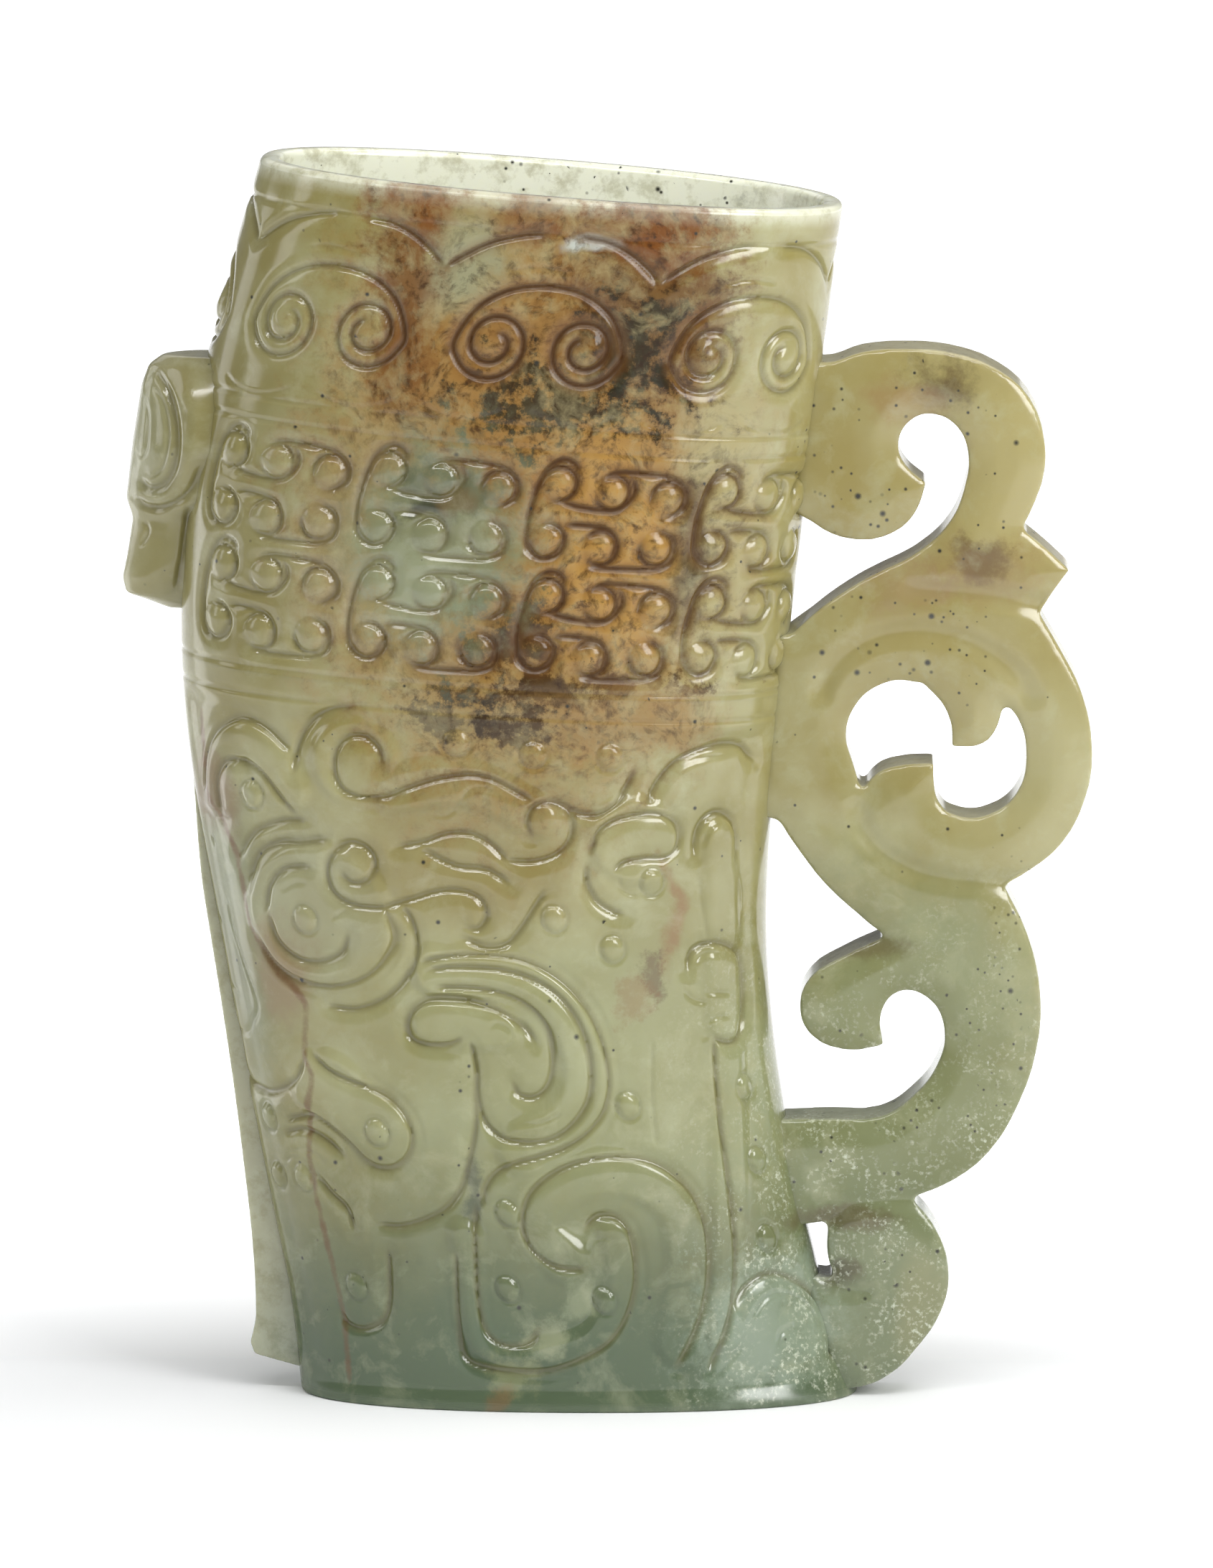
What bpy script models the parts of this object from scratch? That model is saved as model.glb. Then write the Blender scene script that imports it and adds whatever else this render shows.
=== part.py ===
"""Carved jade rhyton: a flattened horn-shaped cup with a beast's head in front and an openwork handle behind.

The stone is divided along its carved boundary lines into named elements with a hairline seam between them.
Metres, +Z up, the foot stands on Z = 0, +X points to the handle and -Y to the carved face in the photo.
"""
import math

import bmesh
import bpy
from mathutils import Vector
from mathutils import geometry
from mathutils.bvhtree import BVHTree

MM = 0.001

# Heights of the cup's zones, from the table up
FOOT_HEIGHT = 14.0 * MM
MASK_HEIGHT = 67.7 * MM
COMMA_HEIGHT = 28.8 * MM
SCROLL_HEIGHT = 22.3 * MM
LIP_HEIGHT = 4.0 * MM
SEAM = 0.3 * MM

# Widths along X and depths along Y where the zones meet
FOOT_WIDTH = 62.4 * MM
ANKLE_WIDTH = 59.8 * MM
WAIST_WIDTH = 60.6 * MM
GIRDLE_WIDTH = 67.2 * MM
SHOULDER_WIDTH = 68.2 * MM
MOUTH_WIDTH = 64.6 * MM
FOOT_DEPTH = 27.0 * MM
WAIST_DEPTH = 32.5 * MM
GIRDLE_DEPTH = 35.0 * MM
MOUTH_DEPTH = 36.4 * MM
SECTION_POWER = 2.25
RING_POINTS = 64

# The cup bows towards the head, and its mouth dips towards the handle
BOW = 10.9 * MM
BOW_SPAN = 150.0 * MM
MOUTH_TILT = math.radians(4.6)
MOUTH_WALL = 2.3 * MM
FLOOR_WALL = 4.5 * MM
FLOOR_LEVEL = 30.0 * MM
LIP_ROUND = 0.7 * MM
FOOT_CHAMFER = 0.8 * MM

# Relief of the two bands: pads and scroll pairs stand over a lowered ground
COMMA_UNITS = 9
COMMA_START = 3.9 * MM
PAD_WIDTH = 3.8 * MM
PAD_TOP = 1.9 * MM
SCROLL_PAIRS = 7
PAIR_START = 2.2 * MM
SPIRAL_SPACING = 10.2 * MM
SPIRAL_WIDTH = 8.6 * MM
SPIRAL_TOP = 5.4 * MM
RELIEF_RISE = 0.15 * MM
RELIEF_SINK = 0.45 * MM
PLAIN_END = 9.0 * MM

# Relief of the lower wall: the mask's main forms stand over a lowered ground, and the ends stay plain
MASK_SINK = 0.5 * MM
MASK_SLOPE = 3.2 * MM
MASK_MARGIN = 2.5 * MM
FIN_MARGIN = 1.2 * MM
HANDLE_MARGIN = 0.8 * MM
END_SLOPE = 3.0 * MM
DRAWN_GIRDLE = 81.7
DRAWN_WAIST = 60.6

# Front: the beast's head and the fin under it
HEAD_PROJECTION = 6.6 * MM
HEAD_THICKNESS = 15.6 * MM
HEAD_RISE = 6.5 * MM
MUZZLE_PROJECTION = 6.5 * MM
MUZZLE_THICKNESS = 9.4 * MM
MUZZLE_DROP = 11.8 * MM
MUZZLE_HEIGHT = 10.0 * MM
FIN_THICKNESS = 3.6 * MM
FIN_TOP_PROJECTION = 0.9 * MM
FIN_TOP_GAP = 7.0 * MM
FIN_FOOT_PROJECTION = 4.7 * MM
FIN_FOOT_GAP = 4.2 * MM
FIN_FLARE = 3

# Handle: a flat plate with a pierced outline, drawn on a rise of 118 and a reach of 57
HANDLE_THICKNESS = 8.8 * MM
HANDLE_DROP = 18.6 * MM
HANDLE_REACH = 26.0 * MM
KERF_DEPTH = 14.0 * MM
DRAWN_RISE = 118.2
DRAWN_REACH = 26.0
DRAWN_EDGE = 31.0

FOOT_TOP = FOOT_HEIGHT
MASK_TOP = FOOT_TOP + MASK_HEIGHT
COMMA_TOP = MASK_TOP + COMMA_HEIGHT
SCROLL_TOP = COMMA_TOP + SCROLL_HEIGHT
CUP_TOP = SCROLL_TOP + LIP_HEIGHT
HANDLE_RISE = CUP_TOP - HANDLE_DROP


def clear_scene():
    for item in list(bpy.data.objects):
        bpy.data.objects.remove(item, do_unlink=True)


def new_collection(name):
    collection = bpy.data.collections.new(name)
    bpy.context.scene.collection.children.link(collection)
    return collection


def jade(name, colour):
    material = bpy.data.materials.new(name)
    material.use_nodes = True
    shader = material.node_tree.nodes["Principled BSDF"]
    shader.inputs["Base Color"].default_value = colour
    shader.inputs["Roughness"].default_value = 0.22
    shader.inputs["Metallic"].default_value = 0.0
    return material


clear_scene()
parts = new_collection("jade_rhyton")
cutters = new_collection("rhyton_cutters")

celadon = jade("celadon_jade", (0.42, 0.43, 0.27, 1.0))
russet = jade("russet_jade", (0.36, 0.24, 0.10, 1.0))
grey_jade = jade("grey_jade", (0.40, 0.43, 0.33, 1.0))


def add_part(name, mesh, material):
    part = bpy.data.objects.new(name, mesh)
    parts.objects.link(part)
    mesh.materials.clear()
    mesh.materials.append(material)
    return part


def add_cutter(name, mesh):
    cutter = bpy.data.objects.new(name, mesh)
    cutters.objects.link(cutter)
    cutter.hide_render = True
    cutter.display_type = "WIRE"
    return cutter


# Cup form: stations of half width and half depth, joined by smooth curves

def through(stations, level):
    """Smooth value at a level, through (level, value) stations, with the slope of the neighbours."""
    last = len(stations) - 1
    index = 0
    while index < last - 1 and level > stations[index + 1][0]:
        index += 1
    (low, start), (high, end) = stations[index], stations[index + 1]

    def slope(i):
        before, after = stations[max(i - 1, 0)], stations[min(i + 1, last)]
        return (after[1] - before[1]) / (after[0] - before[0])

    span = high - low
    t = min(max((level - low) / span, 0.0), 1.0)
    rise = start * (2 * t**3 - 3 * t**2 + 1) + end * (3 * t**2 - 2 * t**3)
    return rise + span * (slope(index) * (t**3 - 2 * t**2 + t) + slope(index + 1) * (t**3 - t**2))


WAIST = (FOOT_TOP + MASK_TOP) / 2
WIDTHS = [
    (0.0, FOOT_WIDTH / 2),
    (FOOT_TOP, ANKLE_WIDTH / 2),
    (WAIST, WAIST_WIDTH / 2),
    (MASK_TOP, GIRDLE_WIDTH / 2),
    (COMMA_TOP, SHOULDER_WIDTH / 2),
    (CUP_TOP, MOUTH_WIDTH / 2),
]
DEPTHS = [
    (0.0, FOOT_DEPTH / 2),
    (WAIST, WAIST_DEPTH / 2),
    (MASK_TOP, GIRDLE_DEPTH / 2),
    (CUP_TOP, MOUTH_DEPTH / 2),
]


def centre_x(level):
    return -BOW * math.sin(math.pi * level / BOW_SPAN)


def tilt(level):
    share = min(max((level - FOOT_TOP) / (COMMA_TOP - FOOT_TOP), 0.0), 1.0)
    return MOUTH_TILT * share * share * (3 - 2 * share)


def section_point(level, inset, turn):
    half_width = through(WIDTHS, level) - inset
    half_depth = through(DEPTHS, level) - inset
    slant = tilt(level)
    across = math.copysign(abs(math.cos(turn)) ** (2 / SECTION_POWER), math.cos(turn)) * half_width
    depth = math.copysign(abs(math.sin(turn)) ** (2 / SECTION_POWER), math.sin(turn)) * half_depth
    return Vector((centre_x(level) + across * math.cos(slant), depth, level - across * math.sin(slant)))


ring_turns = [2 * math.pi * step / RING_POINTS for step in range(RING_POINTS)]


def cup_ring(level, inset=0.0):
    """Closed ring of points round the cup, its plane tipped with the mouth; a negative inset stands proud."""
    return [section_point(level, inset, turn) for turn in ring_turns]


def loft(name, rings, looped=False):
    """Skin of quads over rings of equal count; an open loft is capped at both ends."""
    bm = bmesh.new()
    rows = [[bm.verts.new(point) for point in ring] for ring in rings]
    pairs = list(zip(rows, rows[1:]))
    if looped:
        pairs.append((rows[-1], rows[0]))
    for lower, upper in pairs:
        count = len(lower)
        for i in range(count):
            j = (i + 1) % count
            bm.faces.new((lower[i], lower[j], upper[j], upper[i]))
    if not looped:
        bm.faces.new(list(reversed(rows[0])))
        bm.faces.new(rows[-1])
    bmesh.ops.recalc_face_normals(bm, faces=bm.faces)
    mesh = bpy.data.meshes.new(name)
    bm.to_mesh(mesh)
    bm.free()
    return mesh


def levels(low, high, count):
    return [low + (high - low) * i / count for i in range(count + 1)]


def wall(level):
    share = (level - FLOOR_LEVEL) / (CUP_TOP - FLOOR_LEVEL)
    return FLOOR_WALL + (MOUTH_WALL - FLOOR_WALL) * share


# Cup: lip, two bands, the mask zone with the floor of the hollow, and the solid foot

lip_low = SCROLL_TOP + SEAM / 2
lip_shoulder = CUP_TOP - LIP_ROUND
lip_rings = [
    cup_ring(lip_low),
    cup_ring(lip_shoulder),
    cup_ring(CUP_TOP, LIP_ROUND),
    cup_ring(CUP_TOP, MOUTH_WALL - LIP_ROUND),
    cup_ring(lip_shoulder, MOUTH_WALL),
    cup_ring(lip_low, wall(lip_low)),
]
add_part("rim_lip", loft("rim_lip", lip_rings, looped=True), celadon)


# Bands: the girth is measured off from the middle of the front, so that the units stand evenly round the cup

GIRTH_STEPS = 360
girth_turns = [-math.pi / 2 + 2 * math.pi * (step / GIRTH_STEPS - 0.5) for step in range(GIRTH_STEPS + 1)]


def girth_runs(level):
    """Length round the outside at each of girth_turns, nothing at the middle of the front."""
    points = [section_point(level, 0.0, turn) for turn in girth_turns]
    runs = [0.0]
    for before, after in zip(points, points[1:]):
        runs.append(runs[-1] + (after - before).length)
    return [run - runs[-1] / 2 for run in runs]


def turn_at(runs, run):
    index = 0
    while index < GIRTH_STEPS - 1 and runs[index + 1] < run:
        index += 1
    share = (run - runs[index]) / (runs[index + 1] - runs[index])
    return girth_turns[index] + share * (girth_turns[index + 1] - girth_turns[index])


def relief_zone(name, low, high, columns, rows, material):
    """Tube of wall whose outside stands proud where a row's raised kinds hold the column's kind.

    columns are (girth share from -0.5, kind) in order, rows are (level, raised kinds) from low to high.
    """
    climb = [low + SEAM / 2] + [level for level, _ in rows] + [high - SEAM / 2]
    raised = [None] + [kinds for _, kinds in rows] + [None]
    outside = []
    inside = []
    for level, kinds in zip(climb, raised):
        runs = girth_runs(level)
        ring = []
        inner_ring = []
        for share, kind in columns:
            run = share * (runs[-1] - runs[0])
            turn = turn_at(runs, run)
            end_gap = abs(abs(run) - runs[-1] / 2)
            inset = 0.0
            if kinds is not None and end_gap > PLAIN_END:
                inset = -RELIEF_RISE if kind in kinds else RELIEF_SINK
            ring.append(section_point(level, inset, turn))
            inner_ring.append(section_point(level, wall(level), turn))
        outside.append(ring)
        inside.append(inner_ring)
    picks = [0, len(climb) // 3, 2 * len(climb) // 3, len(climb) - 1]
    rings = outside + [inside[pick] for pick in reversed(picks)]
    return add_part(name, loft(name, rings, looped=True), material)


def wrapped(marks, girth):
    """Columns (run, kind) as shares of the girth, brought into one turn and put in order."""
    shares = [((run / girth + 0.5) % 1.0 - 0.5, kind) for run, kind in marks]
    return sorted(shares)


def band_girth(level):
    runs = girth_runs(level)
    return runs[-1] - runs[0]


# Scroll band: spirals in pairs under a shared brow
scroll_middle = COMMA_TOP + 0.445 * SCROLL_HEIGHT
scroll_girth = band_girth(scroll_middle)
scroll_columns = []
for pair in range(SCROLL_PAIRS):
    middle = PAIR_START + scroll_girth * pair / SCROLL_PAIRS
    for side in (-1, 1):
        spiral = middle + side * SPIRAL_SPACING / 2
        scroll_columns += [
            (spiral - SPIRAL_WIDTH / 2, "gap" if side < 0 else "bridge"),
            (spiral - SPIRAL_TOP / 2, "spiral"),
            (spiral + SPIRAL_TOP / 2, "spiral"),
            (spiral + SPIRAL_WIDTH / 2, "bridge" if side < 0 else "gap"),
        ]
brow_level = COMMA_TOP + 0.74 * SCROLL_HEIGHT
brow_half = 0.04 * SCROLL_HEIGHT
scroll_rows = [
    (COMMA_TOP + 0.09 * SCROLL_HEIGHT, ()),
    (scroll_middle - SPIRAL_WIDTH / 2, ()),
    (scroll_middle - SPIRAL_TOP / 2, ("spiral",)),
    (scroll_middle + SPIRAL_TOP / 2, ("spiral",)),
    (scroll_middle + SPIRAL_WIDTH / 2, ()),
    (brow_level - brow_half, ("spiral", "bridge")),
    (brow_level + brow_half, ("spiral", "bridge")),
    (brow_level + 3 * brow_half, ()),
]
relief_zone("scroll_band", COMMA_TOP, SCROLL_TOP, wrapped(scroll_columns, scroll_girth), scroll_rows, russet)

# Comma band: two rows of units, each with six round pads
comma_girth = band_girth(MASK_TOP + COMMA_HEIGHT / 2)
comma_columns = []
for unit in range(COMMA_UNITS):
    for share in (0.145, 0.465, 0.795):
        pad = COMMA_START + comma_girth * (unit + share) / COMMA_UNITS
        comma_columns += [
            (pad - PAD_WIDTH / 2, "gap"),
            (pad - PAD_TOP / 2, "pad"),
            (pad + PAD_TOP / 2, "pad"),
            (pad + PAD_WIDTH / 2, "gap"),
        ]
comma_rows = []
for share in (0.165, 0.388, 0.602, 0.825):
    level = MASK_TOP + share * COMMA_HEIGHT
    comma_rows += [
        (level - PAD_WIDTH / 2, ()),
        (level - PAD_TOP / 2, ("pad",)),
        (level + PAD_TOP / 2, ("pad",)),
        (level + PAD_WIDTH / 2, ()),
    ]
relief_zone("comma_band", MASK_TOP, COMMA_TOP, wrapped(comma_columns, comma_girth), comma_rows, russet)

# Lower wall: main forms of the mask as seen from the front, each a half width and its middle line,
# across from the cup's axis and up from the table, on a girdle 81.7 high and a waist 60.6 wide
MASK_FORMS = {
    "ear": (2.3, [(-29.5, 67.5), (-28.4, 72.3), (-26.1, 74.1), (-23.1, 72.2), (-21.4, 69.3)]),
    "whorl": (8.2, [(-18.5, 55.4)]),
    "brow_curl": (4.8, [(-13.7, 73.1)]),
    "snout": (2.4, [(-9.7, 70.3), (-1.1, 71.4), (6.3, 68.2)]),
    "eye": (5.0, [(17.1, 65.7)]),
    "scroll": (2.8, [(-6.1, 50.1), (2.9, 49.6), (7.7, 45.6), (9.4, 39.2), (6.6, 33.6), (0.4, 29.8)]),
    "tongue": (2.6, [(-7.3, 44.3), (-0.3, 44.2)]),
    "hook": (4.2, [(-20.5, 36.1), (-15.5, 31.8)]),
    "strip": (1.8, [(26.9, 66.0), (25.8, 49.4), (22.9, 27.2), (17.9, 8.5)]),
    "swirl": (2.6, [(2.4, 17.5), (-0.1, 21.5), (3.7, 26.2), (10.9, 27.3), (16.2, 23.7), (16.5, 17.1),
                    (13.2, 7.7)]),
    "foot_plate": (1.8, [(-8.0, 19.9), (-9.5, 9.3), (-4.6, 6.3), (3.8, 8.1), (8.4, 14.4), (9.0, 20.4)]),
}


def eased(share):
    share = min(max(share, 0.0), 1.0)
    return share * share * (3 - 2 * share)


def path_gap(spot, path):
    """Distance from a point to a path of one or more points."""
    gaps = [(spot - point).length for point in path]
    for start, end in zip(path, path[1:]):
        foot, share = geometry.intersect_point_line(spot, start, end)
        if 0.0 < share < 1.0:
            gaps.append((spot - foot).length)
    return min(gaps)


mask_forms = []
for half_width, path in MASK_FORMS.values():
    drawn_path = [Vector((x * WAIST_WIDTH / DRAWN_WAIST, z * MASK_TOP / DRAWN_GIRDLE)) for x, z in path]
    mask_forms.append((half_width * WAIST_WIDTH / DRAWN_WAIST, drawn_path))


def ground_sink(level, turn):
    """How far the ground lies back at a place on the outside of the lower wall."""
    place = section_point(level, 0.0, turn)
    spot = Vector((place.x - centre_x(level), level))
    stand = 0.0
    for half_width, path in mask_forms:
        stand = max(stand, eased(0.5 + (half_width - path_gap(spot, path)) / MASK_SLOPE))
    bare = FIN_THICKNESS / 2 + FIN_MARGIN if spot.x < 0 else HANDLE_THICKNESS / 2 + HANDLE_MARGIN
    away = eased((abs(place.y) - bare) / END_SLOPE)
    away *= eased((level - FOOT_CHAMFER) / MASK_MARGIN)
    away *= eased((MASK_TOP - MASK_MARGIN - level) / MASK_MARGIN)
    return MASK_SINK * away * (1 - stand)


def relief_ring(level):
    return [section_point(level, ground_sink(level, turn), turn) for turn in ring_turns]


mask_low = FOOT_TOP + SEAM / 2
mask_high = MASK_TOP - SEAM / 2
mask_rings = [relief_ring(level) for level in levels(mask_low, mask_high, 22)]
hollow_levels = levels(FLOOR_LEVEL + FLOOR_WALL, mask_high, 6)
mask_rings += [cup_ring(level, wall(level)) for level in reversed(hollow_levels)]
mask_rings.append(cup_ring(FLOOR_LEVEL + FLOOR_WALL / 3, wall(FLOOR_LEVEL) + FLOOR_WALL / 3))
mask_rings.append(cup_ring(FLOOR_LEVEL, wall(FLOOR_LEVEL) + FLOOR_WALL))
add_part("mask_zone", loft("mask_zone", mask_rings), celadon)

foot_rings = [cup_ring(0.0, FOOT_CHAMFER)]
foot_rings += [relief_ring(level) for level in levels(FOOT_CHAMFER, FOOT_TOP - SEAM / 2, 5)]
add_part("foot_block", loft("foot_block", foot_rings), grey_jade)

# The whole cup as one solid, a seam larger all round, trims what stands against it
proud_rings = [cup_ring(level, -SEAM) for level in levels(-0.05 * CUP_TOP, CUP_TOP * 1.05, 24)]
cup_clearance = add_cutter("cup_clearance", loft("cup_clearance", proud_rings))


def cut_mesh(name, mesh, tools):
    """Mesh with the given cutters taken away."""
    blank = add_cutter(name + "_blank", mesh)
    for tool in tools:
        cut = blank.modifiers.new(tool.name, "BOOLEAN")
        cut.operation = "DIFFERENCE"
        cut.solver = "EXACT"
        cut.object = tool
    bpy.context.view_layer.update()
    evaluated = blank.evaluated_get(bpy.context.evaluated_depsgraph_get())
    result = bpy.data.meshes.new_from_object(evaluated)
    bpy.data.objects.remove(blank, do_unlink=True)
    return result


def split_islands(mesh):
    """Loose pieces of a mesh, each as its own mesh."""
    source = bmesh.new()
    source.from_mesh(mesh)
    bmesh.ops.remove_doubles(source, verts=source.verts, dist=0.001 * MM)
    left = set(source.verts)
    pieces = []
    while left:
        seed = left.pop()
        group = {seed}
        front = [seed]
        while front:
            for edge in front.pop().link_edges:
                for vert in edge.verts:
                    if vert not in group:
                        group.add(vert)
                        front.append(vert)
        left -= group
        piece = source.copy()
        piece.verts.ensure_lookup_table()
        keep = {vert.index for vert in group}
        drop = [vert for vert in piece.verts if vert.index not in keep]
        bmesh.ops.delete(piece, geom=drop, context="VERTS")
        target = bpy.data.meshes.new("piece")
        piece.to_mesh(target)
        piece.free()
        pieces.append(target)
    source.free()
    return pieces


def plate_mesh(name, outlines, thickness):
    """Flat plate in the XZ plane from closed outlines; a point with a third entry is a sharp corner."""
    curve = bpy.data.curves.new(name, "CURVE")
    curve.dimensions = "2D"
    curve.fill_mode = "BOTH"
    curve.extrude = thickness / 2
    curve.resolution_u = 3
    for outline in outlines:
        spline = curve.splines.new("BEZIER")
        spline.bezier_points.add(len(outline) - 1)
        for knot, point in zip(spline.bezier_points, outline):
            knot.co = (point[0], point[1], 0.0)
            kind = "VECTOR" if len(point) > 2 else "AUTO"
            knot.handle_left_type = kind
            knot.handle_right_type = kind
        spline.use_cyclic_u = True
    sheet = add_cutter(name + "_sheet", curve)
    sheet.rotation_euler = (math.pi / 2, 0.0, 0.0)
    bpy.context.view_layer.update()
    mesh = bpy.data.meshes.new_from_object(sheet.evaluated_get(bpy.context.evaluated_depsgraph_get()))
    mesh.transform(sheet.matrix_world)
    bpy.data.objects.remove(sheet, do_unlink=True)
    bm = bmesh.new()
    bm.from_mesh(mesh)
    bmesh.ops.remove_doubles(bm, verts=bm.verts, dist=0.005 * MM)
    bmesh.ops.recalc_face_normals(bm, faces=bm.faces)
    bm.to_mesh(mesh)
    bm.free()
    return mesh


# Handle outline: X counts from the cup's axis and Z from the table, on the drawing's own scale

OUTER = [
    (6, 116, "corner"), (27.9, 116.7), (31, 117.8), (36, 118.2), (41, 117.8), (46, 116.0), (49.6, 112.8),
    (51.3, 108), (51.2, 104), (50, 100.6), (48.9, 98.2, "corner"), (51.6, 95.9), (54.1, 93.6, "corner"),
    (52.2, 91.0), (50.8, 88.7, "corner"), (53.3, 84.4), (55.6, 79.7), (56.8, 73), (56, 67.8), (53.4, 62.8),
    (50, 59.9), (47, 58.1, "corner"), (49.7, 52.5), (51.2, 45.5), (50.8, 39.6), (48.9, 33.6), (45.6, 28.0),
    (41.6, 24.7), (36.7, 22.6, "corner"), (39.4, 19.4), (41.1, 14.2), (40.2, 9.6), (37.6, 5.6), (34.4, 2.4),
    (30.6, 0.9), (6, 0.9, "corner"),
]
CREST_EYE = [
    (6, 100, "corner"), (24, 100.8, "corner"), (26.8, 98.2), (31, 97.0), (34.8, 97.9), (37, 100),
    (38.2, 103.3, "corner"), (35.8, 105.4), (35.1, 107.8), (36.4, 110.3), (38.8, 111.1), (41.6, 109.8),
    (43, 106.6), (42.6, 102.8), (41, 98.9), (37.6, 95.6), (31.5, 92.4), (27, 89.4), (23.4, 86.2, "corner"),
    (6, 86.2, "corner"),
]
RING_EYE = [
    (31.2, 68.5, "corner"), (30.2, 71.8), (29.4, 75.0), (30.6, 78.6), (33.2, 80.7), (36.2, 81.2), (39.2, 79.8),
    (41.2, 76.4), (41.3, 73.8, "corner"), (44.6, 74.1), (46.2, 76), (46.8, 78.9, "corner"), (48.5, 77.2),
    (49.6, 72.6), (48.4, 68.2), (45.4, 66), (42.4, 65.7), (39.9, 67.2), (39.2, 69.6), (39.2, 71.8, "corner"),
    (35.4, 71.5), (33.1, 70.7),
]
LIMB_EYE = [
    (6, 65.6, "corner"), (21.9, 65.6, "corner"), (24, 62.5), (27.4, 58.1), (31, 54.8), (34, 52.2, "corner"),
    (29, 49.8), (25.7, 47.6), (24.5, 44.6), (25.6, 41.3), (29.6, 39.5), (33.7, 40, "corner"), (33.4, 43.6),
    (35.4, 46.1), (38.6, 45.5), (40.6, 42), (39.8, 37.6), (37, 34), (33.6, 31.8), (28, 31.5),
    (6, 31.3, "corner"),
]
TAIL_SLIT = [
    (20, 18.6, "corner"), (27.8, 19.9, "corner"), (27.6, 16.6), (28.4, 13.4, "corner"), (20, 14.4, "corner"),
]

# Kerfs run through the notches and necks of the outline, from one point to another
KERFS = [
    ((41.0, 102.4), (53.0, 102.4)),
    ((35.2, 95.3), (52.2, 88.2)),
    ((19.0, 66.4), (48.6, 57.7)),
    ((33.3, 53.4), (36.6, 45.0)),
    ((25.0, 18.8), (38.0, 22.9)),
    ((37.2, 80.9), (48.2, 78.4)),
    ((30.2, 69.0), (41.4, 66.2)),
]

# A point on the face of each element
HANDLE_ELEMENTS = {
    "handle_crest": (47, 108),
    "handle_spur": (47, 95),
    "handle_ring": (53, 74),
    "ring_upper_tongue": (43.6, 77),
    "ring_lower_tongue": (36.5, 69.5),
    "handle_limb": (46, 40),
    "limb_curl": (29, 44.5),
    "tail_curl": (35, 12),
}

handle_edge = centre_x(0.0) + FOOT_WIDTH / 2


def placed(point):
    """Drawing point in the part's metres: height by the handle's rise, reach counted from the foot's end."""
    across = handle_edge + (point[0] - DRAWN_EDGE) * HANDLE_REACH / DRAWN_REACH
    return (across, point[1] * HANDLE_RISE / DRAWN_RISE) + tuple(point[2:])


def kerf_box(start, end):
    bm = bmesh.new()
    bmesh.ops.create_cube(bm, size=1.0)
    a, b = Vector(placed(start)), Vector(placed(end))
    mesh = bpy.data.meshes.new("kerf")
    bm.to_mesh(mesh)
    bm.free()
    box = add_cutter("kerf", mesh)
    box.scale = ((b - a).length, KERF_DEPTH, SEAM)
    box.rotation_euler = (0.0, -math.atan2(b.y - a.y, b.x - a.x), 0.0)
    box.location = ((a.x + b.x) / 2, 0.0, (a.y + b.y) / 2)
    return box


drawing = (OUTER, CREST_EYE, RING_EYE, LIMB_EYE, TAIL_SLIT)
outlines = [[placed(point) for point in outline] for outline in drawing]
kerf_boxes = [kerf_box(start, end) for start, end in KERFS]
handle_plate = plate_mesh("handle", outlines, HANDLE_THICKNESS)
handle_mesh = cut_mesh("handle", handle_plate, [cup_clearance] + kerf_boxes)

handle_pieces = split_islands(handle_mesh)
for name, spot in HANDLE_ELEMENTS.items():
    x, z = placed(spot)
    face_point = Vector((x, -HANDLE_THICKNESS / 2, z))

    def distance(piece):
        bm = bmesh.new()
        bm.from_mesh(piece)
        found = BVHTree.FromBMesh(bm).find_nearest(face_point)[3]
        bm.free()
        return found

    nearest = min(handle_pieces, key=distance)
    handle_pieces.remove(nearest)
    add_part(name, nearest, grey_jade if name == "tail_curl" else celadon)


# Front: the head's two elements are stacked oval sections, trimmed by the cup

def front_x(height):
    """The cup's front end on the middle plane at a true height, where the tipped sections ride up."""
    level = height
    for _ in range(6):
        level = height - through(WIDTHS, level) * math.sin(tilt(level))
    return centre_x(level) - through(WIDTHS, level) * math.cos(tilt(level))


def head_part(name, sections):
    """Stack of ovals (level, projection, thickness), centred inside the cup's wall and trimmed by it."""
    rings = []
    for level, projection, thickness in sections:
        root = front_x(level) + MOUTH_WALL
        reach = projection + MOUTH_WALL
        turns = [2 * math.pi * step / 24 for step in range(24)]
        rings.append([
            Vector((root - reach * math.cos(turn), thickness / 2 * math.sin(turn), level)) for turn in turns
        ])
    pieces = split_islands(cut_mesh(name, loft(name, rings), [cup_clearance]))
    outer = min(pieces, key=lambda piece: min(vert.co.x for vert in piece.vertices))
    return add_part(name, outer, celadon)


head_top = COMMA_TOP + HEAD_RISE
muzzle_top = COMMA_TOP - MUZZLE_DROP
muzzle_low = muzzle_top - MUZZLE_HEIGHT
head_height = head_top - muzzle_top
mouth_projection = 0.87 * HEAD_PROJECTION
head_part("beast_head", [
    (muzzle_top + SEAM / 2, mouth_projection, MUZZLE_THICKNESS),
    (muzzle_top + 0.12 * head_height, HEAD_PROJECTION, 0.8 * HEAD_THICKNESS),
    (muzzle_top + 0.45 * head_height, HEAD_PROJECTION, HEAD_THICKNESS),
    (muzzle_top + 0.82 * head_height, HEAD_PROJECTION, 0.95 * HEAD_THICKNESS),
    (muzzle_top + 0.94 * head_height, 0.94 * HEAD_PROJECTION, 0.84 * HEAD_THICKNESS),
    (head_top, 0.74 * HEAD_PROJECTION, 0.62 * HEAD_THICKNESS),
])
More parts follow.
